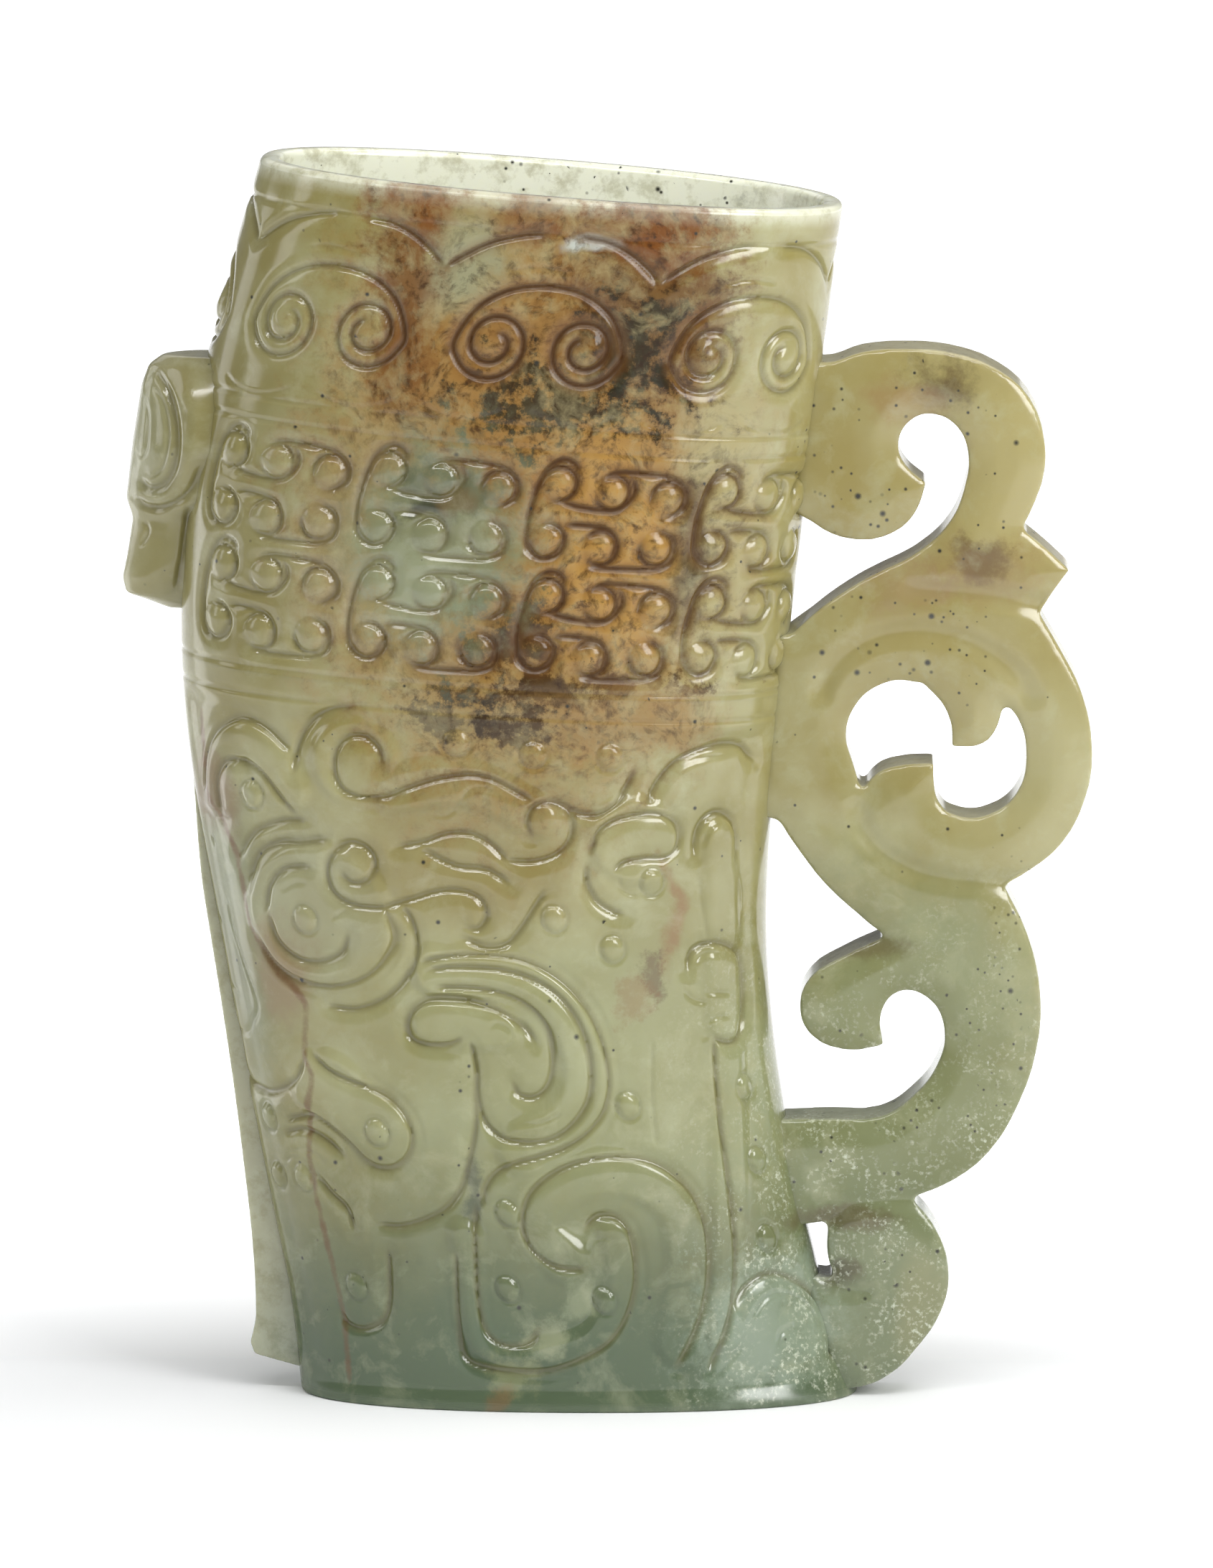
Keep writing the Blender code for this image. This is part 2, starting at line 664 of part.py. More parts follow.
head_part("beast_muzzle", [
    (muzzle_low, 0.2 * MUZZLE_PROJECTION, 0.4 * MUZZLE_THICKNESS),
    (muzzle_low + 0.1 * MUZZLE_HEIGHT, 0.6 * MUZZLE_PROJECTION, 0.66 * MUZZLE_THICKNESS),
    (muzzle_low + 0.17 * MUZZLE_HEIGHT, 0.94 * MUZZLE_PROJECTION, 0.84 * MUZZLE_THICKNESS),
    (muzzle_low + 0.33 * MUZZLE_HEIGHT, MUZZLE_PROJECTION, 0.94 * MUZZLE_THICKNESS),
    (muzzle_low + 0.6 * MUZZLE_HEIGHT, 0.93 * MUZZLE_PROJECTION, 0.96 * MUZZLE_THICKNESS),
    (muzzle_top - SEAM / 2, mouth_projection, MUZZLE_THICKNESS),
])

# Fin: a plate down the front, thin at the girdle and standing out at the foot
fin_high = MASK_TOP - FIN_TOP_GAP
fin_low = FIN_FOOT_GAP
fin_share = (0.0, 0.06, 0.16, 0.3, 0.5, 0.75, 1.0)
fin_edge = []
for share in fin_share:
    level = fin_low + (fin_high - fin_low) * share
    stand = FIN_TOP_PROJECTION + (FIN_FOOT_PROJECTION - FIN_TOP_PROJECTION) * (1 - share) ** FIN_FLARE
    fin_edge.append((front_x(level) - stand, level))
fin_edge[-1] += ("corner",)
root_x = centre_x(WAIST)
fin_outline = [(root_x, fin_low, "corner")] + fin_edge + [(root_x, fin_high, "corner")]
fin_plate = plate_mesh("front_fin", [fin_outline], FIN_THICKNESS)
fin_pieces = split_islands(cut_mesh("front_fin", fin_plate, [cup_clearance]))
fin_mesh = min(fin_pieces, key=lambda piece: min(vert.co.x for vert in piece.vertices))
add_part("front_fin", fin_mesh, celadon)
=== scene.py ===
import math

import bmesh
import bpy
import numpy as np
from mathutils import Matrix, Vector
from mathutils.bvhtree import BVHTree
from mathutils.kdtree import KDTree


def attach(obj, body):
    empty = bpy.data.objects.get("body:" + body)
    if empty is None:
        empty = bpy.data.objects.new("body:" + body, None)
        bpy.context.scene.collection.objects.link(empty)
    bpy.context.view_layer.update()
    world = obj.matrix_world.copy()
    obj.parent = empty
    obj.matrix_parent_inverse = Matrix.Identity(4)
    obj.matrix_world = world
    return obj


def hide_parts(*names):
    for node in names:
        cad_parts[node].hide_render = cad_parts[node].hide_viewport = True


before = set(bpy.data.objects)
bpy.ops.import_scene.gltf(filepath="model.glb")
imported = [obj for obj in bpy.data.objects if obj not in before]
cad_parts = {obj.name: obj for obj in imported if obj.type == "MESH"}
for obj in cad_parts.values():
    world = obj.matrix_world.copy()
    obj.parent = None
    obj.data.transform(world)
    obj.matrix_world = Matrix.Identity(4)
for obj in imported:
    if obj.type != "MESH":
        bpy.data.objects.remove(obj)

MM = 0.001
scene = bpy.context.scene
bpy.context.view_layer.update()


# Camera: a long lens a little above the cup, square to its carved face.
# The photo is 1690 wide and 2184 high, and shows 174.8 mm of height at the middle of the cup.
PICTURE_HEIGHT = 174.8 * MM
VIEW_DISTANCE = 1500 * MM
VIEW_RISE = math.radians(9.5)
VIEW_TURN = math.radians(1.0)
aim = Vector((3.0, 0.0, 68.8)) * MM

back = Vector((
    math.sin(VIEW_TURN) * math.cos(VIEW_RISE),
    -math.cos(VIEW_TURN) * math.cos(VIEW_RISE),
    math.sin(VIEW_RISE),
))
camera_data = bpy.data.cameras.new("photo_camera")
camera_data.sensor_width = 36.0
camera_data.lens = camera_data.sensor_width * VIEW_DISTANCE / PICTURE_HEIGHT
camera = bpy.data.objects.new("photo_camera", camera_data)
camera.location = aim + back * VIEW_DISTANCE
camera.rotation_euler = back.to_track_quat("Z", "Y").to_euler()
scene.collection.objects.link(camera)
scene.camera = camera


# Studio: a white paper sweep under broad soft boxes, in a white room.
# The boxes above and at both sides draw the thin bright lines along the polished edges, and the one behind
# shines through the thin wall of the mouth.
def linear(hex_colour):
    """Linear red, green, blue and alpha of an sRGB hex colour."""
    parts = [int(hex_colour[i:i + 2], 16) / 255 for i in (1, 3, 5)]
    return tuple(c / 12.92 if c <= 0.04045 else ((c + 0.055) / 1.055) ** 2.4 for c in parts) + (1.0,)


def add(tree, kind, inputs=None, **settings):
    """Adds a node; inputs maps a socket's name or number to a value, an output or a node's first output."""
    node = tree.nodes.new(kind)
    for name, value in settings.items():
        setattr(node, name, value)
    for key, value in (inputs or {}).items():
        if isinstance(value, bpy.types.Node):
            value = value.outputs[0]
        if isinstance(value, bpy.types.NodeSocket):
            tree.links.new(value, node.inputs[key])
        else:
            node.inputs[key].default_value = value
    return node


ROOM_STRENGTH = 0.22
scene.view_settings.view_transform = "Standard"
room = bpy.data.worlds.new("white_room")
room.use_nodes = True
room.node_tree.nodes["Background"].inputs["Color"].default_value = linear("#FDFEFF")
room.node_tree.nodes["Background"].inputs["Strength"].default_value = ROOM_STRENGTH
scene.world = room

cup_middle = Vector((0, 0, 70)) * MM
SOFT_BOXES = [
    # name, place and size in mm, power in watts
    ("top_box", (170, -60, 510), (380, 260), 1.2),
    ("strip_box", (-40, -300, 420), (500, 50), 0.85),
    ("key_box", (420, -420, 330), (260, 320), 2.35),
    ("left_box", (-520, -120, 300), (120, 420), 0.34),
    ("low_strip", (-125, 25, 78), (30, 140), 0.022),
    ("back_wall", (0, 700, 570), (1100, 400), 0.9),
]
for name, spot, size, power in SOFT_BOXES:
    light = bpy.data.lights.new(name, "AREA")
    light.shape = "RECTANGLE"
    light.size = size[0] * MM
    light.size_y = size[1] * MM
    light.energy = power
    box = bpy.data.objects.new(name, light)
    box.location = Vector(spot) * MM
    box.visible_camera = False
    box.rotation_euler = (box.location - cup_middle).to_track_quat("Z", "Y").to_euler()
    scene.collection.objects.link(box)

TABLE_REACH = 6.0
floor_mesh = bpy.data.meshes.new("table")
floor_shape = bmesh.new()
bmesh.ops.create_grid(floor_shape, x_segments=1, y_segments=1, size=TABLE_REACH)
floor_shape.to_mesh(floor_mesh)
floor_shape.free()
floor = bpy.data.objects.new("table", floor_mesh)
scene.collection.objects.link(floor)

# Matt white paper: it glows to pure white away from the cup and behind it, so that only the soft shadow at
# the foot shows, and hardly at all in front, where it would veil the carved face
PAPER_WHITE, PAPER_ROUGHNESS = "#FCFDFE", 0.7
GLOW_START, GLOW_FULL = 70, 380
FRONT_START, FRONT_FULL, FRONT_GLOW = -220, -110, 0.1
REAR_START, REAR_FULL, REAR_GLOW = 15, 85, 0.75
paper = bpy.data.materials.new("white_paper_sweep")
paper.use_nodes = True
sheet = paper.node_tree
sheet_shader = sheet.nodes["Principled BSDF"]
sheet_shader.inputs["Base Color"].default_value = linear(PAPER_WHITE)
sheet_shader.inputs["Roughness"].default_value = PAPER_ROUGHNESS
sheet_shader.inputs["Emission Color"].default_value = linear(PAPER_WHITE)
table_place = add(sheet, "ShaderNodeTexCoord").outputs["Object"]
spread = add(sheet, "ShaderNodeVectorMath", {0: table_place}, operation="LENGTH").outputs["Value"]
table_depth = add(sheet, "ShaderNodeSeparateXYZ", {0: table_place}).outputs[1]
away = add(sheet, "ShaderNodeMapRange", {
    "Value": spread, "From Min": GLOW_START * MM, "From Max": GLOW_FULL * MM})
front = add(sheet, "ShaderNodeMapRange", {
    "Value": table_depth, "From Min": FRONT_START * MM, "From Max": FRONT_FULL * MM, "To Min": FRONT_GLOW})
rear = add(sheet, "ShaderNodeMapRange", {
    "Value": table_depth, "From Min": REAR_START * MM, "From Max": REAR_FULL * MM, "To Max": REAR_GLOW})
glow = add(sheet, "ShaderNodeMath", {0: away, 1: front}, operation="MULTIPLY")
glow = add(sheet, "ShaderNodeMath", {0: glow, 1: rear}, operation="MAXIMUM")
sheet.links.new(glow.outputs[0], sheet_shader.inputs["Emission Strength"])
floor_mesh.materials.append(paper)


# Stone: one block of nephrite jade, sawn, drilled, carved and polished wet to a waxy gloss.
# Most of its colours lie in the block, so they are placed in the cup's own millimetres and run through every
# piece:
# celadon clouds, a russet skin on the upper face, a grey-green foot, stains on the handle, specks and flecks.
# The foot is also painted darker towards the floor as shade, and the thin wall, the lip and free edges are
# painted pale as a glow of light through the stone.
CELADON_DARK, CELADON_LIGHT = "#89804C", "#9D9A71"
SWIRL, DRIFT = 12.0, 9.0
CLOUD, WISP, GRANULE = 9.0, 5.0, 2.6
BUNCH, VEIL, FLECK, PIT = 5.0, 4.0, 0.5, 0.9
PATCH_EDGE, PATCH_CORE = 1.35, 0.45
PATCHES = [
    # name, centre, radii, colour, strength, graininess
    ("handle_gold", (44, 0, 100), (26, 30, 36), "#8F8049", 0.6, 0.3),
    ("crest_glow", (48, 0, 102), (7, 30, 13), "#A69C6A", 0.6, 0.6),
    # The foot's grey-green stone, painted darker towards the floor as shade
    ("grey_foot_and_shade", (0, 0, -10), (90, 60, 38), "#4C5D45", 0.95, 0.2),
    ("grey_limb", (36, 0, 34), (20, 30, 28), "#69744F", 0.65, 0.6),
    ("tail_light", (34, 0, 10), (9, 30, 12), "#83896A", 0.6, 0.5),
    ("narrow_end", (-46, 0, 38), (12, 30, 44), "#5E6B56", 0.65, 0.3),
    ("fin_olive", (-42, 0, 34), (15, 4, 46), "#8C865A", 0.7, 0.3),
    ("comma_cream", (-28, -14, 96), (9, 12, 14), "#9C9472", 0.5, 1.4),
    ("ring_glow", (50, 0, 70), (11, 30, 16), "#A6A074", 0.6, 0.4),
    ("head_grey", (-48, 0, 108), (6, 14, 9), "#8A9478", 0.55, 0.4),
    ("olive_left", (-40, 0, 108), (14, 30, 36), "#7A7245", 0.65, 0.3),
    ("whorl_grey", (-30, -12, 57), (9, 10, 11), "#94967A", 0.5, 0.5),
    ("mask_green", (2, -14, 38), (30, 14, 18), "#8C9672", 0.4, 0.6),
    ("mask_shade", (13, -14, 55), (9, 14, 20), "#7C794C", 0.4, 0.5),
    ("mask_olive", (-12, -16, 65), (14, 12, 11), "#847747", 0.6, 0.5),
    ("russet_skin", (-5, -18, 106), (24, 15, 36), "#8A6430", 0.9, 1.2),
    ("russet_gold", (4, -18, 97), (11, 12, 15), "#A78244", 0.75, 1.6),
    ("pale_window", (-12.5, -18, 129), (5, 10, 6), "#8F9274", 0.8, 1.4),
    ("pale_strip", (17, -18, 100), (4, 10, 30), "#9C956C", 0.7, 1.4),
    ("russet_edge", (15, -17, 97), (5, 12, 17), "#9A8F62", 0.6, 1.4),
    ("russet_left", (-18.5, -18, 125), (4.6, 10, 14), "#6A4420", 0.8, 2.2),
    ("russet_right", (8, -18, 123), (10, 10, 12), "#5A3B1A", 0.8, 2.4),
    ("russet_lip_left", (-17, -17, 137), (5, 8, 3.4), "#75481F", 0.85, 1.6),
    ("russet_lip_mid", (-5, -18, 135), (4, 8, 4), "#734B25", 0.75, 1.6),
    ("russet_lip_right", (9, -18, 133.5), (9, 8, 4.4), "#6E4119", 0.9, 1.8),
    ("russet_black", (6.5, -18, 120), (4.5, 10, 6), "#262314", 0.9, 8.0),
    ("russet_black_mid", (0, -18, 114), (8.5, 10, 4), "#262314", 0.9, 8.0),
    ("russet_black_low", (-6, -18, 88), (5, 10, 4), "#241C11", 0.8, 8.0),
    ("russet_black_side", (12.6, -17, 97), (2.6, 10, 10), "#2A1D10", 0.7, 2.4),
    ("russet_girdle", (0, -18, 82.6), (11, 10, 1.8), "#35230F", 0.8, 7.0),
    ("russet_gold_girdle", (6, -18, 79), (13, 10, 4), "#8E7145", 0.7, 1.6),
    ("girdle_grey", (-14.5, -17, 79.8), (4, 10, 1.5), "#3B4238", 0.55, 8.0),
    ("girdle_black", (-6, -18, 78.4), (4.5, 10, 2.2), "#2C1D10", 0.8, 7.0),
    ("aqua", (-15.5, -17, 99), (11, 12, 12.5), "#727A5C", 0.85, 1.6),
    ("aqua_dark", (-13, -17, 104), (6, 10, 3), "#464E3C", 0.55, 2.6),
    ("aqua_cloud", (-18, -17, 93), (6, 10, 6), "#949A7E", 0.45, 2.4),
    ("aqua_black", (-16.6, -17, 102.8), (2.2, 8, 1.0), "#2F3222", 0.8, 1.8),
    ("aqua_rust", (-12.6, -17, 103), (2.4, 8, 1.6), "#6E5430", 0.5, 2.2),
    ("white_spot", (1.2, -18, 131), (2.8, 8, 1.0), "#BFCAC4", 0.8, 0.9),
    ("vein_blush", (-33.5, -12, 50), (3.4, 10, 6), "#8A7152", 0.6, 1.2),
    ("ear_blush", (-40.6, -8, 69), (2.2, 10, 5), "#7C6246", 0.6, 1.2),
    ("thigh_streak", (10.3, -16, 55.5), (1.0, 8, 7), "#7C5026", 0.6, 1.6),
    ("thigh_spot", (8.8, -16, 48.6), (1.5, 8, 2.6), "#54391F", 0.6, 4.0),
    ("thigh_rust", (6.2, -16, 46.6), (2.2, 8, 2), "#7E5830", 0.4, 4.0),
    ("mask_black", (-11.8, -15, 24.5), (1.3, 8, 4.5), "#3C4236", 0.65, 2.4),
    ("foot_quartz_low", (-7.5, -13.5, 4), (2.6, 8, 2.6), "#9A9C72", 0.45, 2.2),
    ("foot_quartz", (-3.5, -14, 8.5), (2.6, 8, 2.8), "#ABAE8C", 0.5, 2.2),
    ("foot_quartz_high", (0.5, -14.5, 13.5), (2.4, 8, 2.6), "#A0A684", 0.4, 2.2),
    ("foot_rust", (-9, -13.5, 1.5), (1.6, 8, 1.6), "#7A5A34", 0.5, 2.0),
    ("foot_frost", (21, -8, 9), (8, 12, 8), "#93A08C", 0.6, 2.0),
    ("crest_stain", (40.6, 0, 114), (4.0, 9, 3.4), "#4A3722", 0.75, 2.0),
    ("crest_blush", (36.5, 0, 111.5), (5, 9, 3), "#8A693C", 0.5, 1.6),
    ("spur_stain", (44.3, 0, 94.6), (3.4, 9, 2.8), "#362C1F", 0.8, 2.2),
    ("spur_blush", (45, 0, 93.5), (8, 9, 4), "#866A42", 0.5, 1.8),
    ("ring_blush", (36.6, 0, 90.6), (6, 9, 3.4), "#8C7354", 0.45, 2.0),
    ("curl_stain", (30.5, 0, 51), (6, 30, 1.8), "#5E5434", 0.65, 1.6),
    ("tail_stain", (30, 0, 20.6), (6, 30, 1.7), "#574A2E", 0.65, 1.6),
    ("slit_stain", (28.6, 0, 13.4), (2.4, 30, 1.8), "#4A3E28", 0.65, 1.6),
    ("tail_gold", (38.5, 0, 10), (3, 30, 8), "#9A9268", 0.3, 1.2),
    ("mouth_black", (18.5, 15, 132), (2.2, 5, 1.4), "#2B3029", 0.85, 2.6),
]
SPECK_ZONES = [
    # centre, radii, density
    ((34, 0, 106), (16, 30, 18), 0.3),
    ((45, 0, 96), (9, 30, 8), 0.4),
    ((36, 0, 86), (11, 30, 8), 0.8),
    ((46.5, 0, 45), (4, 30, 20), 0.9),
    ((40, 0, 33), (14, 30, 12), 0.6),
    ((34, 0, 10), (11, 30, 11), 0.22),
    ((8, 15, 131), (24, 10, 8), 1.0),
]


def nephrite():
    """The stone of every piece; sizes of its patterns are in mm."""
    stone = bpy.data.materials.new("polished_nephrite")
    stone.use_nodes = True
    tree = stone.node_tree
    shader = tree.nodes["Principled BSDF"]
    coordinate = add(tree, "ShaderNodeTexCoord").outputs["Object"]
    place = add(tree, "ShaderNodeVectorMath", {0: coordinate, "Scale": 1 / MM}, operation="SCALE")

    # Swirls push every border about, so that it wanders as in a cloud
    swirl = add(tree, "ShaderNodeTexNoise", {
        "Vector": place, "Scale": 1 / SWIRL, "Detail": 4.0}).outputs["Color"]
    push = add(tree, "ShaderNodeVectorMath", {0: swirl, 1: (0.5, 0.5, 0.5)}, operation="SUBTRACT")
    push = add(tree, "ShaderNodeVectorMath", {0: push, "Scale": DRIFT}, operation="SCALE")
    drift = add(tree, "ShaderNodeVectorMath", {0: place, 1: push}, operation="ADD")

    def reach(centre, radii):
        """Distance from a centre, counted in radii."""
        offset = add(tree, "ShaderNodeVectorMath", {0: drift, 1: centre}, operation="SUBTRACT")
        share = add(tree, "ShaderNodeVectorMath", {0: offset, 1: radii}, operation="DIVIDE")
        return add(tree, "ShaderNodeVectorMath", {0: share}, operation="LENGTH").outputs["Value"]

    # Ground of celadon clouds; every other colour is a layer over it, a share and a tint, in this order
    cloud = add(tree, "ShaderNodeTexNoise", {
        "Vector": place, "Scale": 1 / CLOUD, "Detail": 5.0}).outputs["Fac"]
    shade = add(tree, "ShaderNodeMapRange", {"Value": cloud, "From Min": 0.34, "From Max": 0.66})
    colour = add(tree, "ShaderNodeMix", {0: shade, 6: linear(CELADON_DARK), 7: linear(CELADON_LIGHT)},
                 data_type="RGBA").outputs[2]
    layers = []

    # Patches, whose borders break up in grains; those of the skin are also gathered as russet
    granule = add(tree, "ShaderNodeTexNoise", {
        "Vector": place, "Scale": 1 / GRANULE, "Detail": 8.0, "Roughness": 0.7}).outputs["Fac"]
    russet = 0.0
    for name, centre, radii, tint, strength, grain in PATCHES:
        broken = add(tree, "ShaderNodeMath", {0: granule, 1: grain, 2: reach(centre, radii)},
                     operation="MULTIPLY_ADD")
        cover = add(tree, "ShaderNodeMapRange", {
            "Value": broken, "From Min": PATCH_EDGE + grain / 2, "From Max": PATCH_CORE + grain / 2,
            "To Max": strength}, interpolation_type="SMOOTHSTEP")
        layers.append((cover, tint))
        if name.startswith("russet"):
            russet = add(tree, "ShaderNodeMath", {0: russet, 1: cover}, operation="MAXIMUM")
        if name == "aqua":
            russet = add(tree, "ShaderNodeMath", {0: russet, 1: cover}, operation="SUBTRACT", use_clamp=True)

    # Milky wisps cloud the ground and all its tints, but little of the skin
    wisp = add(tree, "ShaderNodeTexNoise", {
        "Vector": drift, "Scale": 1 / WISP, "Detail": 7.0, "Roughness": 0.62}).outputs["Fac"]
    milk = add(tree, "ShaderNodeMapRange", {
        "Value": wisp, "From Min": 0.52, "From Max": 0.74, "To Max": 0.34})
    clear = add(tree, "ShaderNodeMath", {0: russet, 1: -0.7, 2: 1.0}, operation="MULTIPLY_ADD")
    milk = add(tree, "ShaderNodeMath", {0: milk, 1: clear}, operation="MULTIPLY")
    layers.append((milk, "#B0B292"))

    # The skin is mottled all over: dark iron grains 1.3 mm across and pale windows down to the celadon
    for size, low, high, strength, tint in ((1.3, 0.48, 0.67, 0.9, "#2E1C0C"),
                                            (4.2, 0.5, 0.68, 0.7, "#A0956C")):
        mottle = add(tree, "ShaderNodeTexNoise", {
            "Vector": drift, "Scale": 1 / size, "Detail": 6.0, "Roughness": 0.65}).outputs["Fac"]
        share = add(tree, "ShaderNodeMapRange", {
            "Value": mottle, "From Min": low, "From Max": high, "To Max": strength})
        share = add(tree, "ShaderNodeMath", {0: share, 1: russet}, operation="MULTIPLY")
        layers.append((share, tint))

    # Carved lines are darker: dull olive everywhere, and black-brown with a brown verge in the russet skin
    cut = add(tree, "ShaderNodeAttribute", attribute_name="cut").outputs["Fac"]
    hollow = add(tree, "ShaderNodeAttribute", attribute_name="hollow").outputs["Fac"]
    for mark, zone, strength, tint in ((cut, 1.0, 0.5, "#6A6238"), (hollow, russet, 0.6, "#6A431C"),
                                       (cut, russet, 0.95, "#42250D")):
        held = add(tree, "ShaderNodeMath", {0: mark, 1: zone}, operation="MULTIPLY")
        held = add(tree, "ShaderNodeMath", {0: held, 1: strength}, operation="MULTIPLY")
        layers.append((held, tint))

    # The vein is a hairline crack with iron in it, dark in places and nearly healed in others
    vein = add(tree, "ShaderNodeAttribute", attribute_name="vein").outputs["Fac"]
    ragged = add(tree, "ShaderNodeMath", {0: granule, 1: -0.05, 2: vein}, operation="MULTIPLY_ADD")
    line = add(tree, "ShaderNodeMapRange", {
        "Value": ragged, "From Min": 0.955, "From Max": 0.984, "To Max": 0.7},
        interpolation_type="SMOOTHSTEP")
    layers.append((line, "#66401F"))

    # Painted glow: the stone is painted pale and blotchy inside the mouth, along the rim and on free edges, as
    # light that shines through the thin wall and falls into the mouth, less where the skin covers it
    thin = add(tree, "ShaderNodeAttribute", attribute_name="thin").outputs["Fac"]
    blotch = add(tree, "ShaderNodeMapRange", {
        "Value": granule, "From Min": 0.36, "From Max": 0.52, "To Min": 0.5, "To Max": 0.95})
    thin = add(tree, "ShaderNodeMath", {0: thin, 1: blotch}, operation="MULTIPLY")
    thin = add(tree, "ShaderNodeMath", {0: thin, 1: clear}, operation="MULTIPLY")
    layers.append((thin, "#E4E6D4"))

    # Black specks up to 0.5 mm in radius, in bunches, few on the cup and many on the handle and in the mouth
    density = 0.05
    for centre, radii, share in SPECK_ZONES:
        near = add(tree, "ShaderNodeMapRange", {
            "Value": reach(centre, radii), "From Min": 1.2, "From Max": 0.4, "To Max": share})
        density = add(tree, "ShaderNodeMath", {0: density, 1: near}, operation="MAXIMUM")
    bunch = add(tree, "ShaderNodeTexNoise", {"Vector": place, "Scale": 1 / BUNCH}).outputs["Fac"]
    bunch = add(tree, "ShaderNodeMapRange", {
        "Value": bunch, "From Min": 0.4, "From Max": 0.62, "To Min": 0.15, "To Max": 1.8})
    density = add(tree, "ShaderNodeMath", {0: density, 1: bunch}, operation="MULTIPLY")
    for spacing, size in ((1.0, 0.34), (2.2, 0.22)):
        cells = add(tree, "ShaderNodeTexVoronoi", {"Vector": place, "Scale": 1 / spacing}).outputs
        pick = add(tree, "ShaderNodeSeparateColor", {0: cells["Color"]}).outputs
        chosen = add(tree, "ShaderNodeMath", {0: pick[0], 1: density}, operation="LESS_THAN")
        radius = add(tree, "ShaderNodeMath", {0: pick[1], 1: size}, operation="MULTIPLY")
        dot = add(tree, "ShaderNodeMapRange", {
            "Value": cells["Distance"], "From Min": radius, "From Max": 0.0, "To Max": 1.6})
        dot = add(tree, "ShaderNodeMath", {0: dot, 1: chosen}, operation="MULTIPLY", use_clamp=True)
        layers.append((dot, "#33322A"))

    # Frosty white flecks low on the handle side
    fleck = add(tree, "ShaderNodeTexNoise", {
        "Vector": place, "Scale": 1 / FLECK, "Detail": 3.0, "Roughness": 0.6}).outputs["Fac"]
    white = add(tree, "ShaderNodeMapRange", {
        "Value": fleck, "From Min": 0.52, "From Max": 0.7, "To Max": 0.9})
    veil = add(tree, "ShaderNodeTexNoise", {"Vector": drift, "Scale": 1 / VEIL, "Detail": 4.0}).outputs["Fac"]
    veil = add(tree, "ShaderNodeMapRange", {"Value": veil, "From Min": 0.4, "From Max": 0.62})
    white = add(tree, "ShaderNodeMath", {0: white, 1: veil}, operation="MULTIPLY")
    split = add(tree, "ShaderNodeSeparateXYZ", {0: drift}).outputs
    for axis, start, end in ((0, 8.0, 24.0), (2, 62.0, 24.0)):
        zone = add(tree, "ShaderNodeMapRange", {"Value": split[axis], "From Min": start, "From Max": end})
        white = add(tree, "ShaderNodeMath", {0: white, 1: zone}, operation="MULTIPLY")
    layers.append((white, "#C9CDB8"))

    for share, tint in layers:
        colour = add(tree, "ShaderNodeMix", {0: share, 6: colour, 7: linear(tint)},
                     data_type="RGBA").outputs[2]
    tree.links.new(colour, shader.inputs["Base Color"])

    # A waxy polish, duller in the skin's cuts and on the foot's worn edge; the skin reflects less than the
    # rest
    gloss = add(tree, "ShaderNodeMapRange", {"Value": cloud, "To Min": 0.1, "To Max": 0.2})
    skin_cuts = add(tree, "ShaderNodeMath", {0: cut, 1: russet}, operation="MULTIPLY")
    gloss = add(tree, "ShaderNodeMath", {0: skin_cuts, 1: 0.3, 2: gloss}, operation="MULTIPLY_ADD")
    level = add(tree, "ShaderNodeSeparateXYZ", {0: place}).outputs[2]
    worn = add(tree, "ShaderNodeMapRange", {
        "Value": level, "From Min": 0.4, "From Max": 2.0, "To Min": 0.45, "To Max": 0.0})
    gloss = add(tree, "ShaderNodeMath", {0: gloss, 1: worn}, operation="MAXIMUM")
    tree.links.new(gloss.outputs[0], shader.inputs["Roughness"])
    skin = add(tree, "ShaderNodeMath", {0: russet, 1: 0.75}, operation="MULTIPLY")
    matt = add(tree, "ShaderNodeMath", {0: skin_cuts, 1: skin}, operation="MAXIMUM")
    matt = add(tree, "ShaderNodeMapRange", {"Value": matt, "To Min": 0.5, "To Max": 0.06})
    tree.links.new(matt.outputs[0], shader.inputs["Specular IOR Level"])
    pits = add(tree, "ShaderNodeTexNoise", {"Vector": place, "Scale": 1 / PIT, "Detail": 3.0}).outputs["Fac"]
    bump = add(tree, "ShaderNodeBump", {"Height": pits, "Strength": 0.05, "Distance": 0.05 * MM})
    tree.links.new(bump.outputs[0], shader.inputs["Normal"])

    # Nephrite's index, and light that sinks a little way in, blue least
    shader.inputs["IOR"].default_value = 1.61
    shader.inputs["Subsurface Weight"].default_value = 0.3
    shader.inputs["Subsurface Radius"].default_value = (1.0, 0.92, 0.6)
    shader.inputs["Subsurface Scale"].default_value = 1.6 * MM
    return stone


jade = nephrite()


# Cup form: the hollow cup is ground from the block as flattened oval sections, which bow towards the head
# and tip towards the handle, as in the frame. A carved wall is drawn unrolled, girth against level, in mm.
FOOT_TOP, MASK_TOP, COMMA_TOP, SCROLL_TOP, CUP_TOP = 14.0, 81.7, 110.5, 132.8, 136.8
WAIST = (FOOT_TOP + MASK_TOP) / 2
WIDTHS = [(0.0, 31.2), (FOOT_TOP, 29.9), (WAIST, 30.3), (MASK_TOP, 33.6), (COMMA_TOP, 34.1), (CUP_TOP, 32.3)]
DEPTHS = [(0.0, 13.5), (WAIST, 16.25), (MASK_TOP, 17.5), (CUP_TOP, 18.2)]
SECTION_POWER = 2.25
BOW, BOW_SPAN = 10.9, 150.0
MOUTH_TILT = math.radians(4.6)
MOUTH_WALL, FLOOR_WALL, FLOOR_LEVEL = 2.3, 4.5, 30.0
GIRTH = 170.8
FOOT_CHAMFER = 0.35


